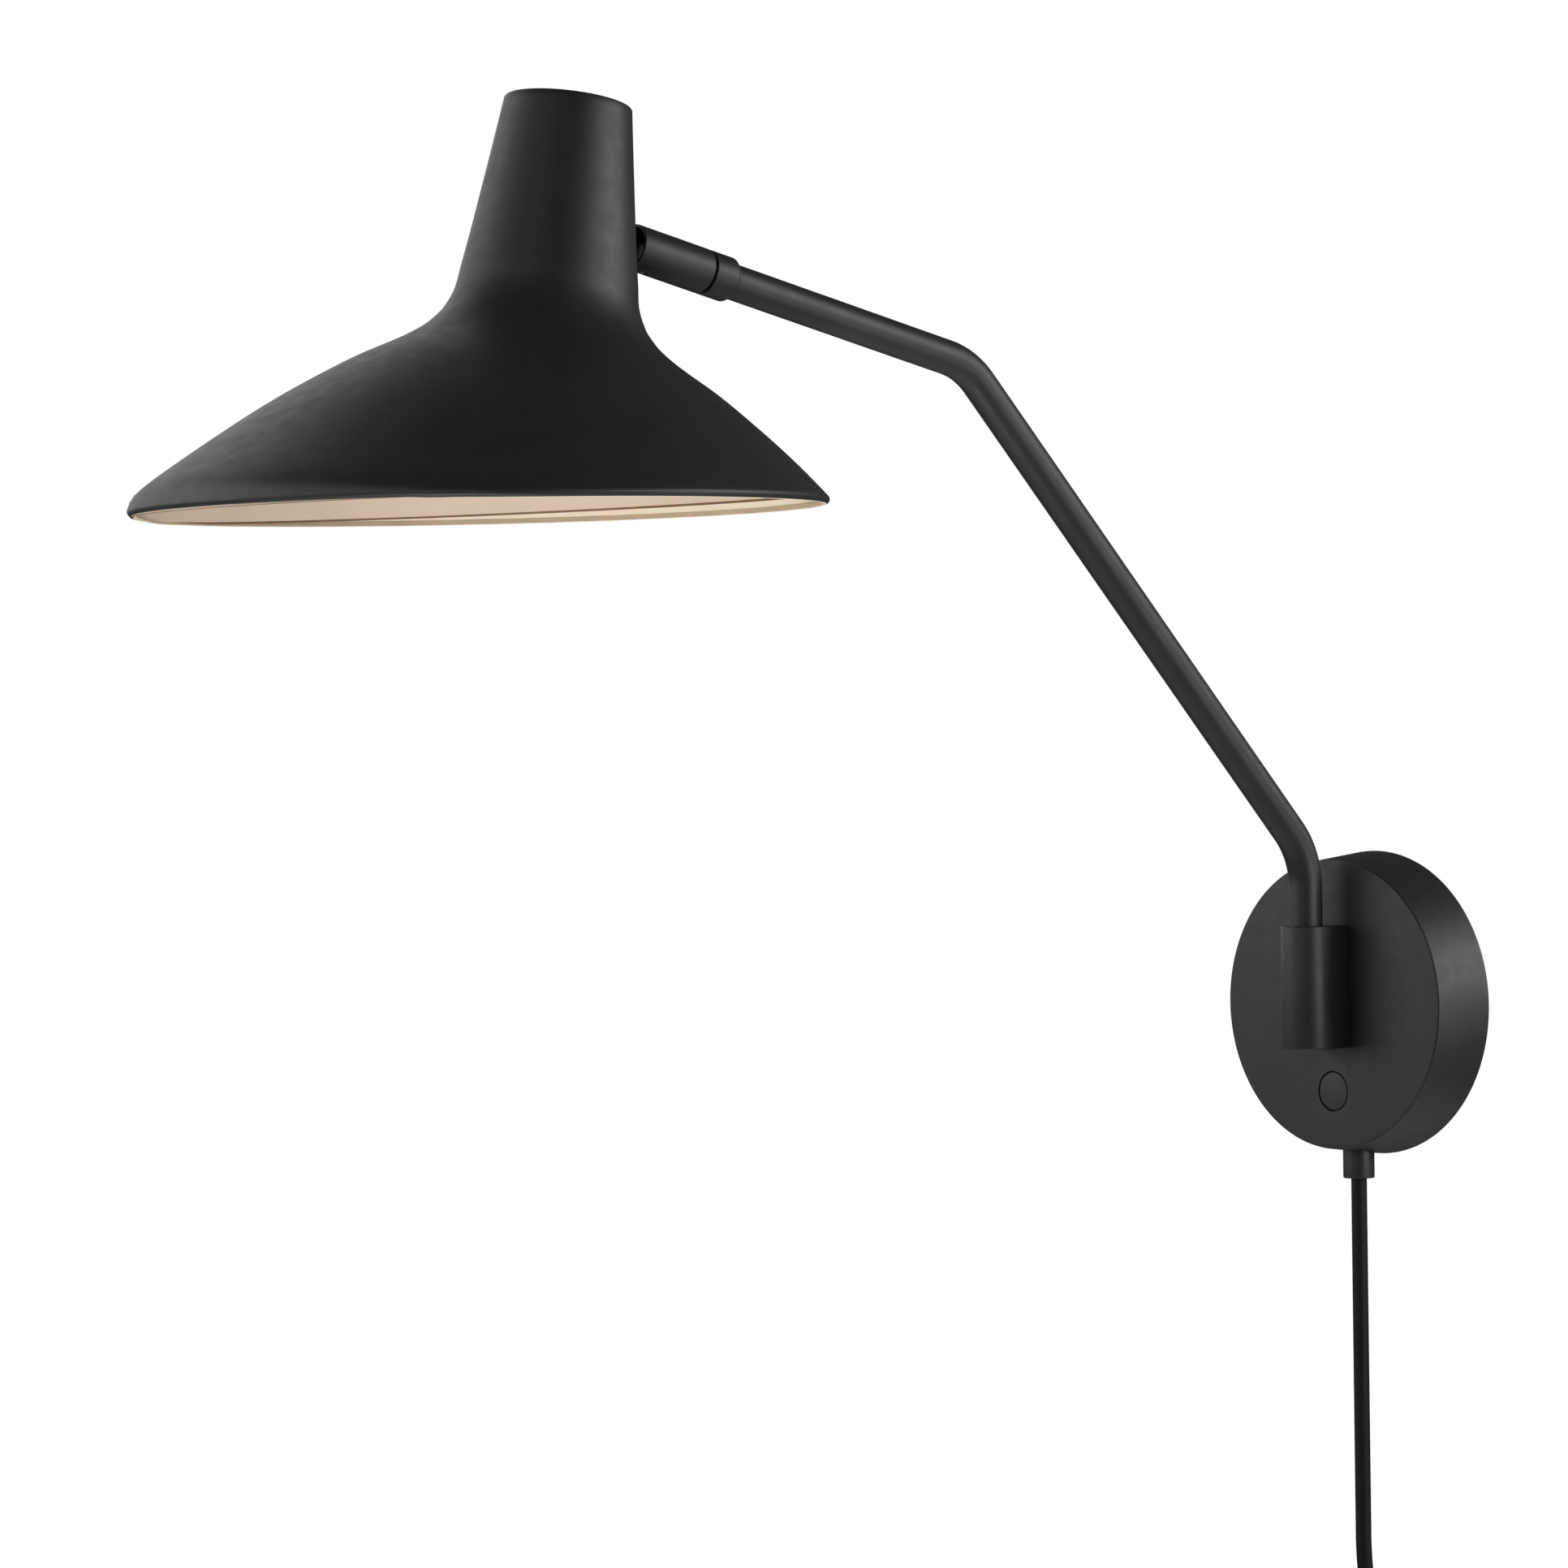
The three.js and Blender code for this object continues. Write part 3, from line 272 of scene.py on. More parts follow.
# Dark brown, painted as the shadow line in the gap between the liner's edge and the shell.
PAINTED_SHADOW_EDGE = surface(
    "painted_shadow_edge", (0.16, 0.08, 0.035), (0.22, 0.11, 0.05), (0.55, 0.7),
    [(0.4, 0.01)], cloud_mm=6,
)
OPAL = surface(
    "opal_bulb", (0.82, 0.80, 0.76), (0.87, 0.86, 0.83), (0.2, 0.27),
    [(2.5, 0.01)], cloud_mm=25,
)


# ------------------------------------------------------------------ mesh helpers

SHARP_ANGLE = 32        # in degrees: faces that meet at more than this stay crisp
ON_AXIS = 1e-6
WELD = 1e-4


def piece_of(name, bm, material, smooth_angle=SHARP_ANGLE):
    """An object made from a bmesh in millimetres, in the lamp's own frame."""
    bmesh.ops.remove_doubles(bm, verts=bm.verts, dist=WELD)
    bmesh.ops.recalc_face_normals(bm, faces=bm.faces)
    bmesh.ops.scale(bm, vec=(MM, MM, MM), verts=bm.verts)
    mesh = bpy.data.meshes.new(name)
    bm.to_mesh(mesh)
    bm.free()
    piece = bpy.data.objects.new(name, mesh)
    bpy.context.scene.collection.objects.link(piece)
    mesh.materials.append(material)
    smooth(piece, smooth_angle)
    return piece


def smooth(piece, angle=SHARP_ANGLE):
    """Shades a piece smoothly, apart from edges sharper than the angle."""
    piece.data.shade_smooth()
    piece.data.set_sharp_from_angle(angle=math.radians(angle))


def settle(piece):
    """Applies a piece's modifiers to its mesh."""
    graph = bpy.context.evaluated_depsgraph_get()
    mesh = bpy.data.meshes.new_from_object(piece.evaluated_get(graph))
    piece.modifiers.clear()
    piece.data = mesh
    return piece


def carve(piece, *tools, operation="DIFFERENCE", smooth_angle=SHARP_ANGLE):
    """Cuts the tools from a piece, or joins them to it, and deletes them."""
    for tool in tools:
        boolean = piece.modifiers.new("boolean", "BOOLEAN")
        boolean.object = tool
        boolean.operation = operation
        boolean.solver = "EXACT"
    settle(piece)
    for tool in tools:
        bpy.data.objects.remove(tool)
    smooth(piece, smooth_angle)
    return piece


def bevelled(piece, width, segments=3, angle=40):
    """Rounds a piece's crisp edges."""
    bevel = piece.modifiers.new("bevel", "BEVEL")
    bevel.width = width * MM
    bevel.segments = segments
    bevel.limit_method = "ANGLE"
    bevel.angle_limit = math.radians(angle)
    settle(piece)
    smooth(piece)
    return piece


def rounded(corners, steps=5):
    """Corners (a, b) or (a, b, fillet radius) as points, each fillet an arc."""
    points = []
    for i, corner in enumerate(corners):
        here = Vector(corner[:2])
        if len(corner) == 2 or i in (0, len(corners) - 1):
            points.append(here)
            continue
        back = (Vector(corners[i - 1][:2]) - here).normalized()
        on = (Vector(corners[i + 1][:2]) - here).normalized()
        half = back.angle(on) / 2
        to_tangent = corner[2] / math.tan(half)
        centre = here + (back + on).normalized() * (corner[2] / math.sin(half))
        start = here + back * to_tangent - centre
        end = here + on * to_tangent - centre
        for k in range(steps + 1):
            share = k / steps
            spoke = start.slerp(end, share).normalized()
            points.append(centre + spoke * corner[2])
    return points


def revolve(name, outline, place, material, sides=MEDIUM, smooth_angle=SHARP_ANGLE, radius_of=None):
    """Turns (radius, height) points about Z. They end on the axis, or the outline closes on itself.

    radius_of(radius, angle) can change the radius on the way round.
    """
    bm = bmesh.new()
    rings = []
    for radius, height in outline:
        if radius < ON_AXIS:
            rings.append([bm.verts.new(place @ Vector((0, 0, height)))])
            continue
        ring = []
        for k in range(sides):
            angle = TURN * k / sides
            r = radius_of(radius, angle) if radius_of else radius
            ring.append(bm.verts.new(place @ Vector((r * math.cos(angle), r * math.sin(angle), height))))
        rings.append(ring)
    bridge(bm, rings, closed=outline[0][0] > ON_AXIS)
    return piece_of(name, bm, material, smooth_angle)


def bridge(bm, rings, closed):
    """Faces between neighbouring rings, and from the last to the first if closed."""
    pairs = list(zip(rings, rings[1:]))
    if closed:
        pairs.append((rings[-1], rings[0]))
    for low, high in pairs:
        count = max(len(low), len(high))
        for k in range(count):
            after = (k + 1) % count
            corners = [low[k % len(low)], low[after % len(low)]]
            corners += [high[after % len(high)], high[k % len(high)]]
            kept = [v for i, v in enumerate(corners) if v not in corners[:i]]
            if len(kept) > 2:
                bm.faces.new(kept)


def sweep(name, path, radius, material, sides):
    """A round bar along a list of points in millimetres."""
    bm = bmesh.new()
    rings = []
    normal = None
    for i, point in enumerate(path):
        along = (path[min(i + 1, len(path) - 1)] - path[max(i - 1, 0)]).normalized()
        if normal is None:
            normal = along.orthogonal().normalized()
        normal = (normal - along * normal.dot(along)).normalized()
        side = along.cross(normal)
        ring = []
        for k in range(sides):
            angle = TURN * k / sides
            spoke = normal * math.cos(angle) + side * math.sin(angle)
            ring.append(bm.verts.new(point + spoke * radius))
        rings.append(ring)
    bridge(bm, rings, closed=False)
    bm.faces.new(rings[0])
    bm.faces.new(rings[-1])
    return piece_of(name, bm, material, 40)


def prism(name, outline, low, high, place, material):
    """A flat outline of (x, y) points raised from low to high along Z."""
    bm = bmesh.new()
    levels = [[bm.verts.new(place @ Vector((p[0], p[1], z))) for p in outline] for z in (low, high)]
    bridge(bm, levels, closed=False)
    bm.faces.new(levels[0])
    bm.faces.new(levels[1])
    return piece_of(name, bm, material)


def block(name, size, centre, material, place=UPRIGHT):
    """A plain block, used for cutting and joining."""
    x, y, z = (s / 2 for s in size)
    outline = [(-x, -y), (x, -y), (x, y), (-x, y)]
    return prism(name, outline, -z, z, place @ Matrix.Translation(centre), material)


def bar(radius, low, high, place, material, sides=SMALL):
    """A plain round bar, used for cutting and joining."""
    return revolve("bar", [(0, low), (radius, low), (radius, high), (0, high)], place, material, sides)


def curve_through(points, steps):
    """A Catmull-Rom curve through the points."""
    made = []
    last = len(points) - 1
    for i in range(last):
        p = [Vector(points[min(max(i + k, 0), last)]) for k in (-1, 0, 1, 2)]
        for k in range(steps):
            t = k / steps
            v0 = (p[2] - p[0]) / 2
            v1 = (p[3] - p[1]) / 2
            a = (2 * p[1] - 2 * p[2] + v0 + v1) * t ** 3
            b = (-3 * p[1] + 3 * p[2] - 2 * v0 - v1) * t ** 2
            made.append(a + b + v0 * t + p[1])
    made.append(Vector(points[-1]))
    return made


def half_circle(radius, centre, start, steps):
    """Points round half a circle, from the angle start on."""
    angles = [start + math.pi * k / steps for k in range(steps + 1)]
    return [(centre[0] + radius * math.cos(a), centre[1] + radius * math.sin(a)) for a in angles]


def belongs(piece, body, slot, *nodes):
    """Puts a piece on its body and hides the CAD nodes that it stands in for."""
    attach(piece, body)
    if nodes:
        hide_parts(*nodes)
    return piece


# ------------------------------------------------------------------ cord, coil and plug

GRIP_RADIUS = 6.2
GRIP_TOP = -57.4
GRIP_END = -69.05
CORD_TOP = GRIP_END - FIT_GAP
COIL_COLUMNS = [40.2, 34.0]                 # radii of the turns
COIL_ROWS = [-5.8, -12.0, -18.2, -24.4]     # places of the rows along Y
COIL_X = -COIL_COLUMNS[0]
STEPS_PER_TURN = 48
CROSSING = 76               # how far round a turn goes, in degrees, while it crosses to the next cell
FIRST_CROSSING = 358 - CROSSING
RELIEF_LENGTH = 25
PLUG_LENGTH = 35
PLUG_HALF_DEPTH = 6.7
PIN_LENGTH = 19
PIN_FROM_MIDDLE = 9.3


def eased(share):
    """From 0 to 1 along half a cosine wave, whose bends are the gentlest."""
    return 0.5 - 0.5 * math.cos(math.pi * min(max(share, 0), 1))


def coil_cells():
    """The places of the turns in the coil's section, each beside the one before."""
    cells = []
    for i, row in enumerate(COIL_ROWS):
        columns = COIL_COLUMNS if i % 2 == 0 else COIL_COLUMNS[::-1]
        cells += [(radius, row) for radius in columns]
    return cells


def coil_points():
    """The turns. Each crosses to its next cell earlier round than the one before, so none meets another."""
    cells = coil_cells()
    points = []
    turns = len(cells) - 1
    for step in range(turns * STEPS_PER_TURN + 1):
        degrees = 360 * step / STEPS_PER_TURN
        radius, row = cells[0]
        for k in range(turns):
            starts = FIRST_CROSSING + (360 - CROSSING / 2) * k
            share = eased((degrees - starts) / CROSSING)
            radius += (cells[k + 1][0] - cells[k][0]) * share
            row += (cells[k + 1][1] - cells[k][1]) * share
        angle = math.radians(degrees)
        x = COIL_X + radius * math.cos(angle)
        z = COIL_HEIGHT - radius * math.sin(angle)
        points.append(Vector((x, row, z)))
    return points


def straight(start, end, steps):
    """Points evenly along a line."""
    return [start.lerp(end, k / steps) for k in range(steps + 1)]


def cord_path():
    """Straight down, in to the coil's first turn, round the coil and straight down to the plug."""
    coil = coil_points()
    bends = [Vector((0, -out, height)) for out, height in LEAD_BENDS]
    down = straight(Vector((0, -CORD_FROM_WALL, CORD_TOP)), bends[0], 14)
    knots = [down[-2], *bends, coil[0], coil[1]]
    lead = curve_through(knots, 3)[3:-3]
    tail = straight(coil[-1], Vector((0, -TAIL_FROM_WALL, TAIL_END)), 10)
    return down[:-1] + lead[:-1] + coil + tail[1:]


def make_relief(top):
    """The plug's tapered strain relief, with slots cut from its sides in turn."""
    end = top - RELIEF_LENGTH
    relief = revolve(
        "plug_relief_ribbed",
        rounded([(0, top), (4.1, top, 0.6), (5, top - 8), (6.3, end, 0.8), (0, end)]),
        at(0, -TAIL_FROM_WALL, 0), BLACK_PLASTIC, SMALL,
    )
    slots = []
    for k in range(5):
        height = top - 4.6 - 3.6 * k
        place = at(0, -TAIL_FROM_WALL, 0, Matrix.Rotation(math.pi / 2 * (k % 2), 4, "Z"))
        for side in (-1, 1):
            centre = (0, side * (4.9 + 0.2 * k), height)
            slots.append(block("slot", (14, 5, 1.2), centre, BLACK_PLASTIC, place))
    carve(relief, *slots)
    return belongs(relief, "wall_base", "black_plastic", "plug_strain_relief")


def make_plug_body(top):
    """The plug's flared body, with grooves for the fingers on its sides."""
    side_line = [(7, 0), (10.6, -4), (12.8, -9.5), (14, -16), (17.4, -29.5), (17.5, -PLUG_LENGTH)]
    outline = side_line + [(-x, z) for x, z in reversed(side_line)]
    place = at(0, -TAIL_FROM_WALL, top)
    body = prism(
        "plug_body_moulded", outline, -PLUG_HALF_DEPTH, PLUG_HALF_DEPTH,
        place @ WALL_OUT, BLACK_PLASTIC,
    )
    bevelled(body, 2.2, 5, 30)
    grooves = []
    for side in (-1, 1):
        for k in range(4):
            centre = (side * (13.2 + 0.9 * k), 0, -14 - 3 * k)
            grooves.append(block("groove", (1.1, 16, 1.2), centre, BLACK_PLASTIC, place))
    carve(body, *grooves)
    return belongs(body, "wall_base", "black_plastic", "plug_body")


def make_pin(node, x, top):
    """A round plug pin with a softened tip."""
    tip = top - PIN_LENGTH
    outline = rounded([(0, top), (2, top), (2, tip, 0.9), (0, tip)])
    pin = revolve(node + "_fine", outline, at(x, -TAIL_FROM_WALL, 0), STEEL, SMALL)
    return belongs(pin, "wall_base", "steel", node)


def make_plug():
    """A plain two-pin plug and its strain relief, hanging on the cord's end."""
    relief_top = TAIL_END - FIT_GAP
    body_top = relief_top - RELIEF_LENGTH - FIT_GAP
    pin_top = body_top - PLUG_LENGTH - FIT_GAP
    return [
        make_relief(relief_top),
        make_plug_body(body_top),
        make_pin("plug_pin_left", -PIN_FROM_MIDDLE, pin_top),
        make_pin("plug_pin_right", PIN_FROM_MIDDLE, pin_top),
    ]


def make_tie():
    """A strap round the coil's section."""
    slack = 0.8
    wall = 0.8
    width = 7.6
    across = 2 * (CORD_DIAMETER + slack)
    along = 2 * (2 * CORD_DIAMETER + slack)
    middle = (COIL_ROWS[0] + COIL_ROWS[-1]) / 2
    centre = (COIL_X - (COIL_COLUMNS[0] + COIL_COLUMNS[1]) / 2, middle, COIL_HEIGHT)
    strap = block("cord_tie_strap", (across + 2 * wall, along + 2 * wall, width), centre, BLACK_PLASTIC)
    bevelled(strap, 1.6, 4)
    carve(strap, block("inside", (across, along, width + 4.4), centre, BLACK_PLASTIC))
    return belongs(strap, "wall_base", "black_plastic", "cord_tie")


def make_cord():
    """The cord from the grip to the plug, with what is on it."""
    path = cord_path()
    piece = sweep("hanging_cord", path, CORD_DIAMETER / 2, CORD_SHEATH, 20)
    belongs(piece, "wall_base", "cord_sheath", "cord_lead", "cord_coil", "cord_tail")
    grip = make_grip()
    on_cord = [make_tie(), *make_plug()]


def make_grip():
    """The short round strain relief under the canopy, and its neck inside."""
    bore = CORD_DIAMETER / 2 + 0.15
    neck = 4.05
    neck_top = -48
    outline = rounded([
        (bore, neck_top), (neck, neck_top), (neck, GRIP_TOP), (GRIP_RADIUS, GRIP_TOP, 0.2),
        (GRIP_RADIUS, GRIP_END, 0.5), (bore, GRIP_END, 0.2), (bore, neck_top),
    ])
    grip = revolve("cord_grip_turned", outline, at(0, -CORD_FROM_WALL, 0), POWDER, MEDIUM)
    return belongs(grip, "wall_base", "black_plastic", "cord_grip")


make_cord()


# ------------------------------------------------------------------ canopy, bracket, hub and button

BUTTON_HOLE_RADIUS = 8.05


def canopy_radius(depth):
    """The outer radius at a distance from the wall."""
    return CANOPY_BACK_RADIUS + (CANOPY_FRONT_RADIUS - CANOPY_BACK_RADIUS) * depth / CANOPY_DEPTH


def lead_hole(low, high, radius):
    """A bar to cut the hole that the lead takes from the canopy into the hub."""
    return bar(radius, low, high, at(0, 0, LEAD_HOLE_HEIGHT, WALL_OUT), POWDER)


def make_canopy():
    """The spun housing, with holes for the button, cord grip, lead and lock screw, and two switch posts."""
    floor = CANOPY_DEPTH - CANOPY_FACE
    outline = rounded([
        (0, floor), (canopy_radius(floor) - CANOPY_WALL, floor, 1.2),
        (CANOPY_BACK_RADIUS - CANOPY_WALL, 0, 0.25), (CANOPY_BACK_RADIUS, 0, 0.35),
        (CANOPY_FRONT_RADIUS, CANOPY_DEPTH, 0.9), (0, CANOPY_DEPTH),
    ], 6)
    canopy = revolve("canopy_spun", outline, WALL_OUT, POWDER, 160)
    button_place = at(0, 0, BUTTON_HEIGHT, WALL_OUT)
    lock_place = round_the_canopy(LOCK_SCREW_ANGLE) @ at(0, -CORD_FROM_WALL, 0, SIDEWAYS)
    carve(
        canopy,
        bar(BUTTON_HOLE_RADIUS, 20, 30, button_place, POWDER, MEDIUM),
        bar(GRIP_RADIUS + 0.1, -70, -45, at(0, -CORD_FROM_WALL, 0), POWDER, MEDIUM),
        lead_hole(20, 30, 3.4),
        bar(2.4, 50, 70, lock_place, POWDER),
    )
    posts = [bar(3, 17, floor + 0.5, at(x, 0, BUTTON_HEIGHT, WALL_OUT), POWDER) for x in SWITCH_POSTS]
    carve(canopy, *posts, operation="UNION")
    belongs(canopy, "wall_base", "black_paint", "canopy_housing")


def make_hub():
    """Round-nosed block with softened edges and an upright bore."""
    back = -CANOPY_DEPTH - 0.05
    outline = [(HUB_RADIUS, back), (-HUB_RADIUS, back), *half_circle(HUB_RADIUS, (0, HUB_Y), math.pi, 40)]
    hub = prism("hub_block_fine", outline, HUB_BOTTOM, HUB_TOP, UPRIGHT, POWDER)
    bevelled(hub, 0.45, 3)
    floor = HUB_BOTTOM + HUB_FLOOR
    chamfer = 0.5
    bore = revolve("bore", [
        (0, floor), (HUB_BORE, floor), (HUB_BORE, HUB_TOP - 0.3), (HUB_BORE + chamfer, HUB_TOP + 0.3),
        (HUB_BORE + chamfer, HUB_TOP + 5), (0, HUB_TOP + 5),
    ], at(0, HUB_Y, 0), POWDER, MEDIUM)
    recess = bar(4.6, HUB_BOTTOM - 2, HUB_BOTTOM + 2.2, at(0, HUB_Y, 0), POWDER)
    carve(hub, bore, recess, lead_hole(20, 34, 3.2))
    belongs(hub, "wall_base", "black_paint", "hub_block")


def make_bush():
    """The upper bush, just below the hub's top."""
    inner = TUBE_RADIUS + 0.2
    outer = HUB_BORE - 0.2
    low = HUB_TOP - 13
    high = HUB_TOP - 0.6
    outline = rounded([(inner, low), (outer, low), (outer, high, 0.2), (inner, high, 0.2), (inner, low)])
    bush = revolve("arm_bush_upper_fine", outline, at(0, HUB_Y, 0), BLACK_PLASTIC, MEDIUM)
    belongs(bush, "wall_base", "black_plastic", "arm_bush_upper")


def make_button():
    """A flat button just below the face, with a flange behind it and a stem to the switch."""
    front = CANOPY_DEPTH - 0.1
    button = 7.4
    flange = 8.7
    stem = 3.4
    outline = rounded([
        (0, front), (button, front, 0.15), (button, 23.2), (flange, 23.2, 0.2), (flange, 22),
        (stem, 22), (stem, 14, 0.3), (0, 14),
    ], 5)
    piece = revolve("push_button", outline, at(0, 0, BUTTON_HEIGHT, WALL_OUT), POWDER, 64)
    belongs(piece, "button", "black_paint", "switch_button")


def make_bracket():
    """Pressed wall plate with two slots, a lead hole and two folded tabs."""
    plate = revolve("wall_bracket_pressed", rounded([
        (0, 0), (BRACKET_RADIUS, 0, 0.3), (BRACKET_RADIUS, BRACKET_THICKNESS, 0.5), (0, BRACKET_THICKNESS),
    ]), WALL_OUT, STEEL, FINE)
    cutters = [bar(7, -2, 6, at(0, 0, -22, WALL_OUT), STEEL)]
    for x in (-30, 30):
        slot = half_circle(2.6, (x, 6), 0, 16) + half_circle(2.6, (x, -6), math.pi, 16)
        cutters.append(prism("slot", slot, -2, 6, WALL_OUT, STEEL))
    carve(plate, *cutters)
    for angle in (LOCK_SCREW_ANGLE, LOCK_SCREW_ANGLE - 180):
        turned = round_the_canopy(angle)
        tab = block("tab", (1.8, 12, 14), (50.8, -7, 0), STEEL, turned)
        bevelled(tab, 0.4, 2)
        carve(tab, bar(1.5, 46, 56, turned @ at(0, -CORD_FROM_WALL, 0, SIDEWAYS), STEEL))
        carve(plate, tab, operation="UNION")
    belongs(plate, "wall_base", "steel", "wall_bracket")


make_canopy()
make_hub()
make_bush()
make_button()
make_bracket()


# ------------------------------------------------------------------ arm and knuckle

def bent(corners, radius, steps):
    """Straight runs through the corners, each rounded to the bend radius."""
    points = [corners[0].copy()]
    for before, corner, after in zip(corners, corners[1:], corners[2:]):
        incoming = (corner - before).normalized()
        outgoing = (after - corner).normalized()
        turn = incoming.angle(outgoing)
        start = corner - incoming * radius * math.tan(turn / 2)
        side = (outgoing - incoming * outgoing.dot(incoming)).normalized()
        for k in range(steps + 1):
            angle = turn * k / steps
            on = incoming * radius * math.sin(angle)
            points.append(start + on + side * radius * (1 - math.cos(angle)))
    points.append(corners[-1].copy())
    return points


SHOULDER_RADIUS = 5
TUBE_START = HUB_BOTTOM + 5.9
TUBE_END_FROM_SEAM = 4.3


def make_arm():
    """The bent tube and the collar fixed at its end, up to the seam."""
    start = Vector((0, HUB_Y, TUBE_START))
    end = seam - reach * TUBE_END_FROM_SEAM
    route = bent([start, lower_bend, upper_bend, end], BEND_RADIUS, 24)
    tube = sweep("arm_tube_bent", route, TUBE_RADIUS, POWDER, 64)
    belongs(tube, "arm", "black_paint", "arm_tube", "arm_lead", "arm_end_plug")
    bore = TUBE_RADIUS + 0.2
    face = -SEAM_GAP / 2
    collar = revolve("arm_collar_turned", rounded([
        (bore, -COLLAR_LENGTH), (7, -COLLAR_LENGTH), (SLEEVE_RADIUS, -COLLAR_LENGTH, 1.15),
        (SLEEVE_RADIUS, face, 0.35), (SHOULDER_RADIUS, face), (SHOULDER_RADIUS, -4),
        (bore, -4), (bore, -COLLAR_LENGTH),
    ], 6), SWIVEL, POWDER, 64)
    belongs(collar, "arm", "black_paint", "arm_collar")


def make_knuckle():
    """The sleeve that swivels after the seam, with the hole of its grub screw."""
    face = SEAM_GAP / 2
    shoulder = SHOULDER_RADIUS + 0.05
    sleeve = revolve("knuckle_sleeve_turned", rounded([
        (shoulder, face), (SLEEVE_RADIUS, face, 0.35), (SLEEVE_RADIUS, SLEEVE_LENGTH, 0.6),
        (SLEEVE_BORE, SLEEVE_LENGTH, 0.3), (SLEEVE_BORE, 3.5), (shoulder, 3.5), (shoulder, face),
    ], 6), SWIVEL, POWDER, 64)
    screw_place = SWIVEL @ at(0, 0, SLEEVE_LENGTH - 7, Matrix.Rotation(-math.pi / 2, 4, "X"))
    carve(sleeve, bar(1.8, -12, 0, screw_place, POWDER))
    belongs(sleeve, "knuckle", "black_paint", "knuckle_sleeve")


make_arm()
make_knuckle()


# ------------------------------------------------------------------ shade, liner and lamp holder

shade_curve = curve_through(SHADE_OUTLINE, 12)
FIRST_CUT_DEPTH = 76    # above it, the points lie at the same depth all the way round
RIM_BEAD = 1.7
SHELL_SIDES = 192
LINER_SIDES = 160
LINER_TOP = 75.6
LINER_GAP = 0.6
LINER_WALL = 0.8
LINER_EDGE = 0.7        # height of the dark band on the liner's edge, a painted shadow line
LINER_HOLE = 14.4


def shade_radius(depth):
    """The shade's outer radius at a depth down the neck's axis."""
    for before, after in zip(shade_curve, shade_curve[1:]):
        if after.y >= depth:
            share = (depth - before.y) / (after.y - before.y)
            return before.x + (after.x - before.x) * share
    return shade_curve[-1].x


def shade_slope(depth):
    """How fast the outer radius grows with depth."""
    return (shade_radius(depth + 0.4) - shade_radius(depth - 0.4)) / 0.8


def rim_depth(angle, lift=0.0, extra=0.0):
    """The depth where the outer surface meets the rim's plane, at an angle round the neck.

    The plane can be lifted, and tilted by an extra angle.
    """
    depth = RIM_DEPTH
    slope = math.tan(RIM_CUT_ANGLE + extra)
    for _ in range(40):
        depth = (depth + RIM_DEPTH - lift - slope * shade_radius(depth) * math.sin(angle)) / 2
    return depth


def inside(depth, distance):
    """(radius, depth) of the point that lies square in from the outer surface."""
    slope = shade_slope(depth)
    size = math.hypot(1, slope)
    return shade_radius(depth) - distance / size, depth + distance * slope / size


def skin(depths, distance, end):
    """Points of one layer of the shade from the neck to its bead, where the rim is at depth end."""
    made = []
    for depth in depths:
        if depth > FIRST_CUT_DEPTH:
            share = (depth - FIRST_CUT_DEPTH) / (RIM_DEPTH - FIRST_CUT_DEPTH)
            depth = FIRST_CUT_DEPTH + (end - RIM_BEAD - FIRST_CUT_DEPTH) * share
        made.append(inside(depth, distance) if distance else (shade_radius(depth), depth))
    return made


def neck_top():
    """Points of the flat top of the neck and of its softened edge."""
    flat = NECK_TOP_RADIUS - NECK_EDGE_RADIUS
    points = [(flat * i / 5, -NECK_RISE) for i in range(1, 6)]
    for i in range(1, 6):
        turn = math.pi / 2 * i / 6
        down_edge = NECK_EDGE_RADIUS * (1 - math.cos(turn))
        points.append((flat + NECK_EDGE_RADIUS * math.sin(turn), down_edge - NECK_RISE))
    return points


def lip(end):
    """Points round the rim's bead, from the outer skin to the inner one."""
    centre = Vector(inside(end - RIM_BEAD, RIM_BEAD))
    slope = math.atan(shade_slope(end - RIM_BEAD))
    points = []
    for i in range(1, 8):
        turn = math.pi * i / 8 - slope
        points.append(tuple(centre + Vector((math.cos(turn), math.sin(turn))) * RIM_BEAD))
    return points


def rings_of(bm, columns):
    """A ring of points for each (radius, depth) of the columns, which stand round the neck's axis."""
    rings = []
    for i in range(len(columns[0])):
        ring = []
        for k, column in enumerate(columns):
            angle = TURN * k / len(columns)
            radius, depth = column[i]
            point = Vector((radius * math.cos(angle), radius * math.sin(angle), -depth))
            ring.append(bm.verts.new(HEAD @ point))
        rings.append(ring)
    return rings


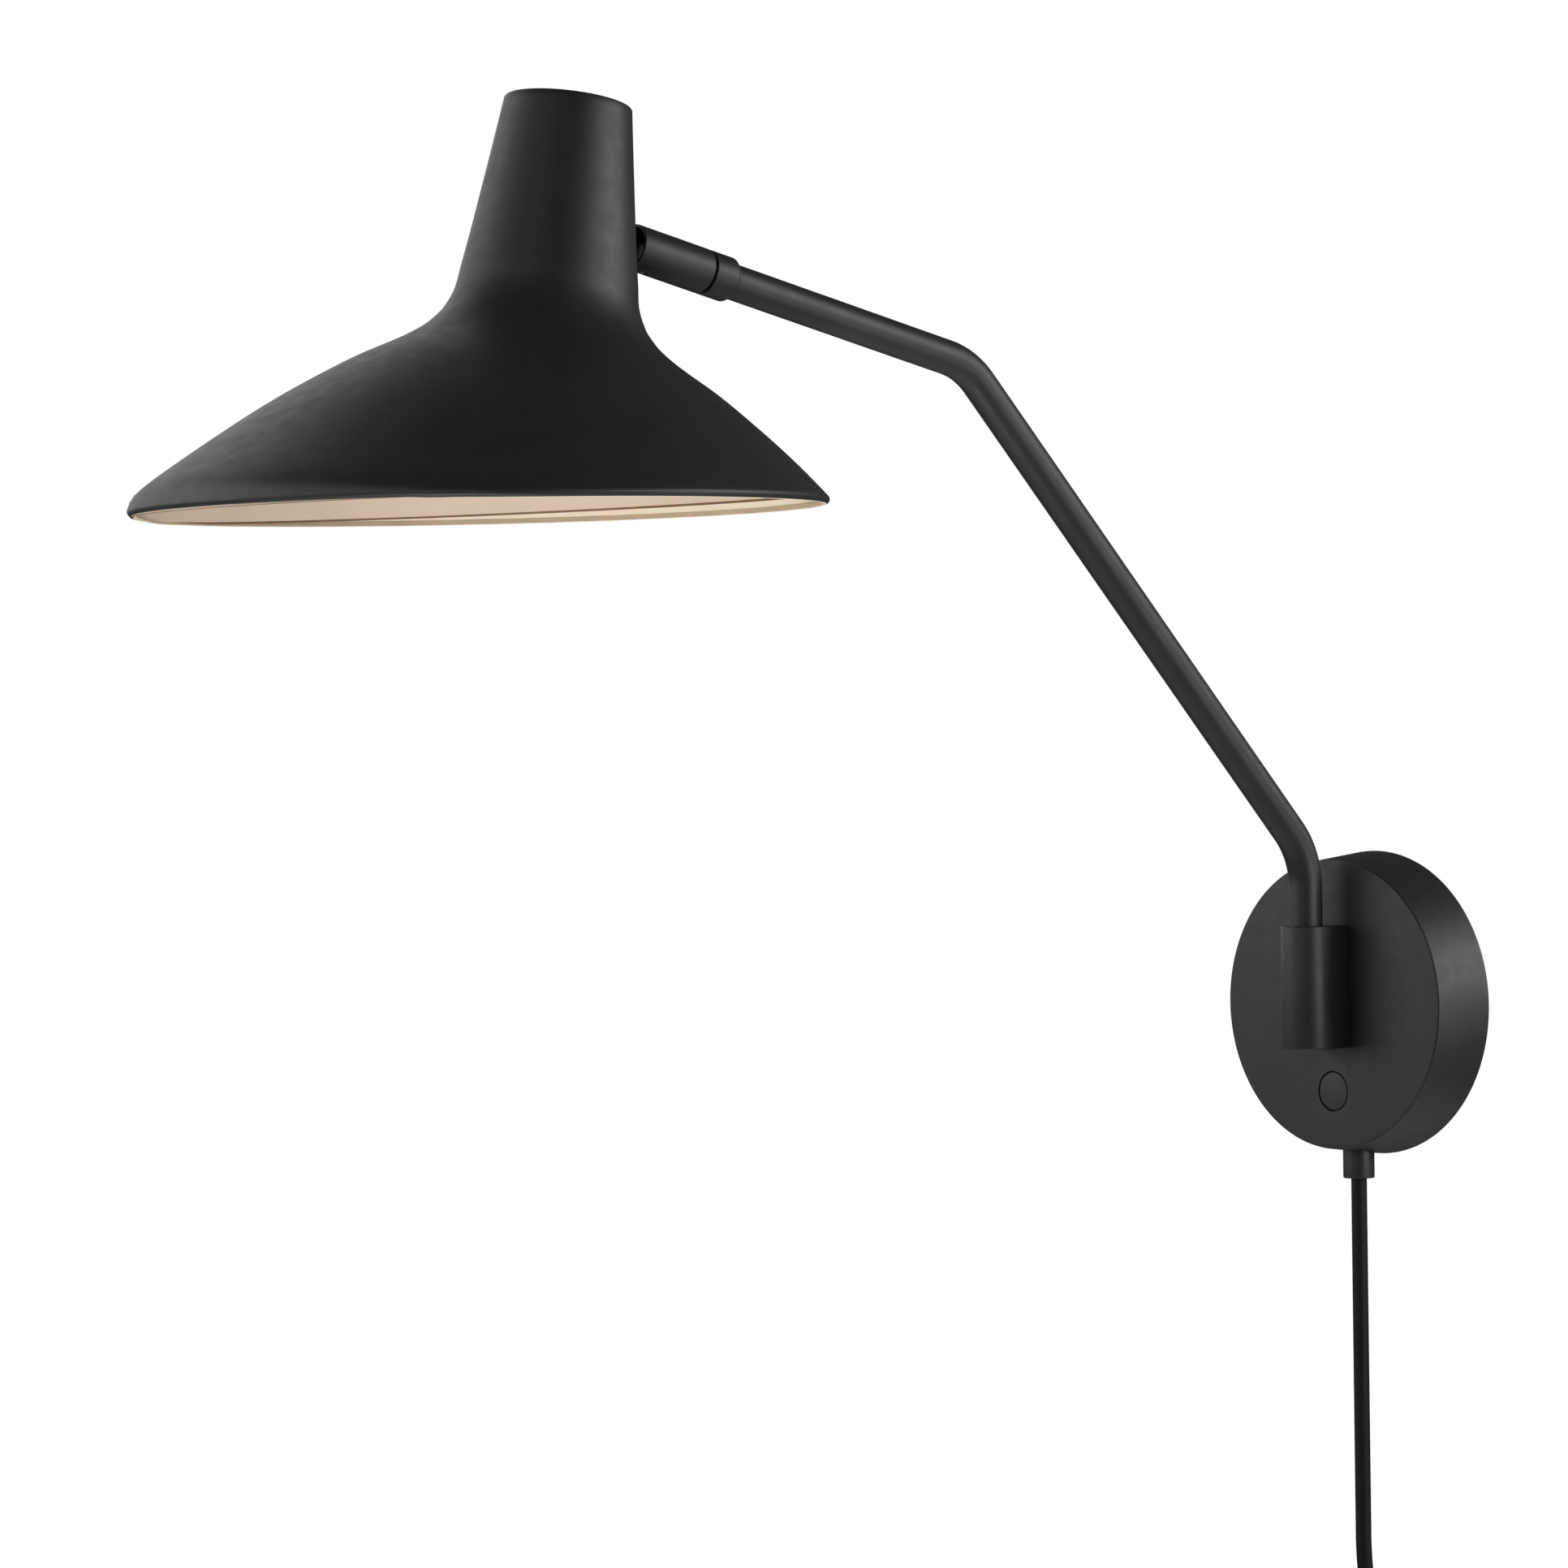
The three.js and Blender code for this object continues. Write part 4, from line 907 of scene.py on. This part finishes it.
def make_shell():
    """The spun shade: neck with a closed flat top, flare and beaded rim. Its inside is cream."""
    ceiling = SHADE_WALL - NECK_RISE
    neck = [SHADE_OUTLINE[0][1] + 2.3 * k for k in range(33)]
    flare = [FIRST_CUT_DEPTH + (RIM_DEPTH - FIRST_CUT_DEPTH) * k / 34 for k in range(35)]
    depths = neck + flare
    columns = []
    for k in range(SHELL_SIDES):
        end = rim_depth(TURN * k / SHELL_SIDES)
        inner = [(r, max(depth, ceiling)) for r, depth in reversed(skin(depths, SHADE_WALL, end))]
        columns.append(neck_top() + skin(depths, 0, end) + lip(end) + inner)
    bm = bmesh.new()
    apex = bm.verts.new(HEAD @ Vector((0, 0, NECK_RISE)))
    under = bm.verts.new(HEAD @ Vector((0, 0, -ceiling)))
    bridge(bm, [[apex], *rings_of(bm, columns), [under]], closed=False)
    shell = piece_of("shade_spun", bm, POWDER, 60)
    shell.data.materials.append(CREAM)
    first_cream_ring = len(columns[0]) - len(depths) - 3
    first_cream_vertex = 2 + first_cream_ring * SHELL_SIDES
    for face in shell.data.polygons:
        if min(face.vertices) >= first_cream_vertex:
            face.material_index = 1
    slot = block("slot", (7, 14, 21), (0, 6, -1), POWDER, at(*tilt_pin))
    carve(shell, slot, smooth_angle=50)
    belongs(shell, "head", "black_paint", "shade_shell")


def make_liner():
    """The cream reflector inside, with a dark brown band on its edge painted as a shadow line, and a hole
    for the lamp holder.
    """
    steps = 30
    gap = SHADE_WALL + LINER_GAP
    columns = []
    for k in range(LINER_SIDES):
        end = rim_depth(TURN * k / LINER_SIDES, 1.65, math.radians(1.3)) - 0.9
        stops = [LINER_TOP + (end - LINER_TOP) * i / steps for i in range(steps + 1)]
        outer = [inside(depth, gap) for depth in stops]
        inner = [inside(depth, gap + LINER_WALL) for depth in (*stops[:-1], end - LINER_EDGE, end)]
        columns.append(outer + inner[::-1] + [(LINER_HOLE, 73.6), (LINER_HOLE, 72.7)])
    bm = bmesh.new()
    bridge(bm, rings_of(bm, columns), closed=True)
    # The liner takes the darker copy of the cream paint: painted shade.
    liner = piece_of("shade_reflector", bm, CREAM_PAINTED_SHADE, 40)
    liner.data.materials.append(PAINTED_SHADOW_EDGE)
    # The faces of the last rings at the edge take the dark brown: a painted shadow line where the liner
    # meets the shell.
    shadow_line_rings = {steps, steps + 1, steps + 2}
    for face in liner.data.polygons:
        if {v // LINER_SIDES for v in face.vertices} <= shadow_line_rings:
            face.material_index = 1
    belongs(liner, "head", "cream_paint", "shade_liner")


def down(points):
    """(radius, depth) points as (radius, height) in the head's frame."""
    return [(p[0], -p[1], *p[2:]) for p in points]


def fluted(radius, angle):
    """The shade ring's radius, with 24 shallow grips round its outer side."""
    return radius - (0.35 * abs(math.sin(12 * angle)) if radius > 17 else 0)


def make_holder():
    """The holder's skirt, and the fluted ring that clamps the liner."""
    skirt = revolve("holder_skirt_moulded", rounded(down([
        (12.6, 48.3), (14, 48.3, 0.3), (14, 69.6, 0.3), (17, 69.6, 0.3), (17, 71.8, 0.2), (14, 71.8),
        (14, 79, 0.5), (12, 79, 0.5), (12, 62), (12.6, 60), (12.6, 48.3),
    ])), HEAD, WHITE_PLASTIC, MEDIUM)
    belongs(skirt, "head", "white_plastic", "holder_skirt")
    ring = revolve("holder_ring_fluted", rounded(down([
        (14.3, 73.2), (18.4, 73.2, 0.4), (18.4, 77.2, 0.7), (14.3, 77.2, 0.3), (14.3, 73.2),
    ])), HEAD, WHITE_PLASTIC, 144, radius_of=fluted)
    belongs(ring, "head", "white_plastic", "holder_ring")


def make_bulb():
    """A plain bulb: steel cap with a ribbed side for its thread, white body and opal globe."""
    thread = [(6.5 + 0.25 * math.cos(TURN * 5 * k / 48), 59.6 + 15 * k / 48) for k in range(49)]
    cap_outline = [(0, 56.4), (2.6, 56.6), (4.2, 58.6), *thread, (6.8, 76), (6.8, 79.4), (0, 79.4)]
    cap = revolve("bulb_cap_threaded", down(cap_outline), HEAD, STEEL, MEDIUM, 50)
    belongs(cap, "head", "steel", "bulb_cap")
    body_outline = rounded(down([(0, 79.7), (7.8, 79.7, 0.4), (12, 86, 4), (18.4, 98), (0, 98)]))
    body = revolve("bulb_body_moulded", body_outline, HEAD, WHITE_PLASTIC, MEDIUM)
    belongs(body, "head", "white_plastic", "bulb_body")
    radius = 22.4
    middle = 110
    top = 98.3
    start = math.asin((middle - top) / radius)
    globe_outline = [(0, top)]
    for k in range(28):
        turn = -start + (math.pi / 2 + start) * k / 28
        globe_outline.append((radius * math.cos(turn), middle + radius * math.sin(turn)))
    globe_outline.append((0, middle + radius))
    globe = revolve("bulb_globe_opal", down(globe_outline), HEAD, OPAL, 64, 50)
    belongs(globe, "head", "opal_glass", "bulb_globe")


make_shell()
make_liner()
make_holder()
make_bulb()


# ------------------------------------------------------------------ the CAD pieces that stay

FINISHES = {
    "black_paint": POWDER, "cream_paint": CREAM, "steel": STEEL, "brass": BRASS,
    "black_plastic": BLACK_PLASTIC, "white_plastic": WHITE_PLASTIC, "opal_glass": OPAL,
    "cord_sheath": CORD_SHEATH,
}


def dress_frame():
    """Every CAD node gets the procedural finish of its slot and rounded shading."""
    for row in frame["record"]["subparts"]:
        node = frame["nodes"][row["node"]]
        node.data.materials.clear()
        node.data.materials.append(FINISHES[row["material_slot"]])
        smooth(node, 40)


dress_frame()


# ------------------------------------------------------------------ studio

LAMP_MIDDLE = Vector((0, -0.27, 0.13))
SHADE_MIDDLE = Vector((0, -0.41, 0.19))
FLOOR_TOP = -1250
FLOOR_BOTTOM = FLOOR_TOP - 6
FLOOR_RADIUS = 1500
FLOOR_MIDDLE = Vector((0, -250, FLOOR_TOP)) * MM
AMBIENT = 0.07
WHITE = (1, 1, 1)
WARM = (1, 0.98, 0.94)


def softbox(name, azimuth, elevation, distance, size, power, colour=WHITE, target=LAMP_MIDDLE, spread=180):
    """An area light at an azimuth to the right of the camera's side, aimed at a target."""
    heading = -math.pi / 2 + CAMERA_AZIMUTH + math.radians(azimuth)
    height = math.radians(elevation)
    level = Vector((math.cos(heading), math.sin(heading), 0)) * math.cos(height)
    out = level + Vector((0, 0, math.sin(height)))
    light = bpy.data.lights.new(name, "AREA")
    light.shape = "RECTANGLE"
    light.size, light.size_y = size
    light.energy = power
    light.color = colour
    light.spread = math.radians(spread)
    lamp = bpy.data.objects.new(name, light)
    lamp.location = target + out * distance
    lamp.rotation_euler = out.to_track_quat("Z", "Y").to_euler()
    lamp.visible_camera = False
    bpy.context.scene.collection.objects.link(lamp)


def make_world():
    """White behind the lamp, and a dim even light on it."""
    world = bpy.data.worlds.new("studio")
    bpy.context.scene.world = world
    world.use_nodes = True
    tree = world.node_tree
    tree.nodes.clear()
    output = tree.nodes.new("ShaderNodeOutputWorld")
    mix = tree.nodes.new("ShaderNodeMixShader")
    rays = tree.nodes.new("ShaderNodeLightPath")
    for socket, strength in ((1, AMBIENT), (2, 1.0)):
        background = tree.nodes.new("ShaderNodeBackground")
        background.inputs["Color"].default_value = (*WHITE, 1)
        background.inputs["Strength"].default_value = strength
        tree.links.new(background.outputs["Background"], mix.inputs[socket])
    tree.links.new(rays.outputs["Is Camera Ray"], mix.inputs["Fac"])
    tree.links.new(mix.outputs["Shader"], output.inputs["Surface"])
    bpy.context.scene.view_settings.view_transform = "Standard"


def make_floor():
    """A pale round floor, well below the plug."""
    pale = surface(
        "pale_floor", (0.76, 0.755, 0.75), (0.80, 0.795, 0.79), (0.7, 0.8),
        [(3, 0.02)], cloud_mm=200,
    )
    outline = [(0, FLOOR_TOP), (FLOOR_RADIUS, FLOOR_TOP), (FLOOR_RADIUS, FLOOR_BOTTOM), (0, FLOOR_BOTTOM)]
    revolve("studio_floor", outline, at(0, -250, 0), pale, 128)


softbox("left_softbox", -82, 10, 2.3, (2.4, 1.8), 20)
softbox("back_left_softbox", -134, 22, 2.3, (3.0, 2.0), 19)
softbox("right_softbox", 86, 18, 2.1, (1.9, 1.0), 24)
softbox("front_fill", -30, 14, 2.0, (1.0, 0.8), 5)
softbox("right_fill", 50, 6, 2.0, (0.7, 0.7), 6)
softbox("near_strip", 72, -14, 0.82, (0.05, 0.4), 1.0)
softbox("under_shade", -20, -58, 0.6, (0.25, 0.25), 0.13, WARM, SHADE_MIDDLE, 25)
softbox("floor_wash", 0, 90, 0.7, (2.4, 2.4), 9, WARM, FLOOR_MIDDLE)
make_world()
make_floor()
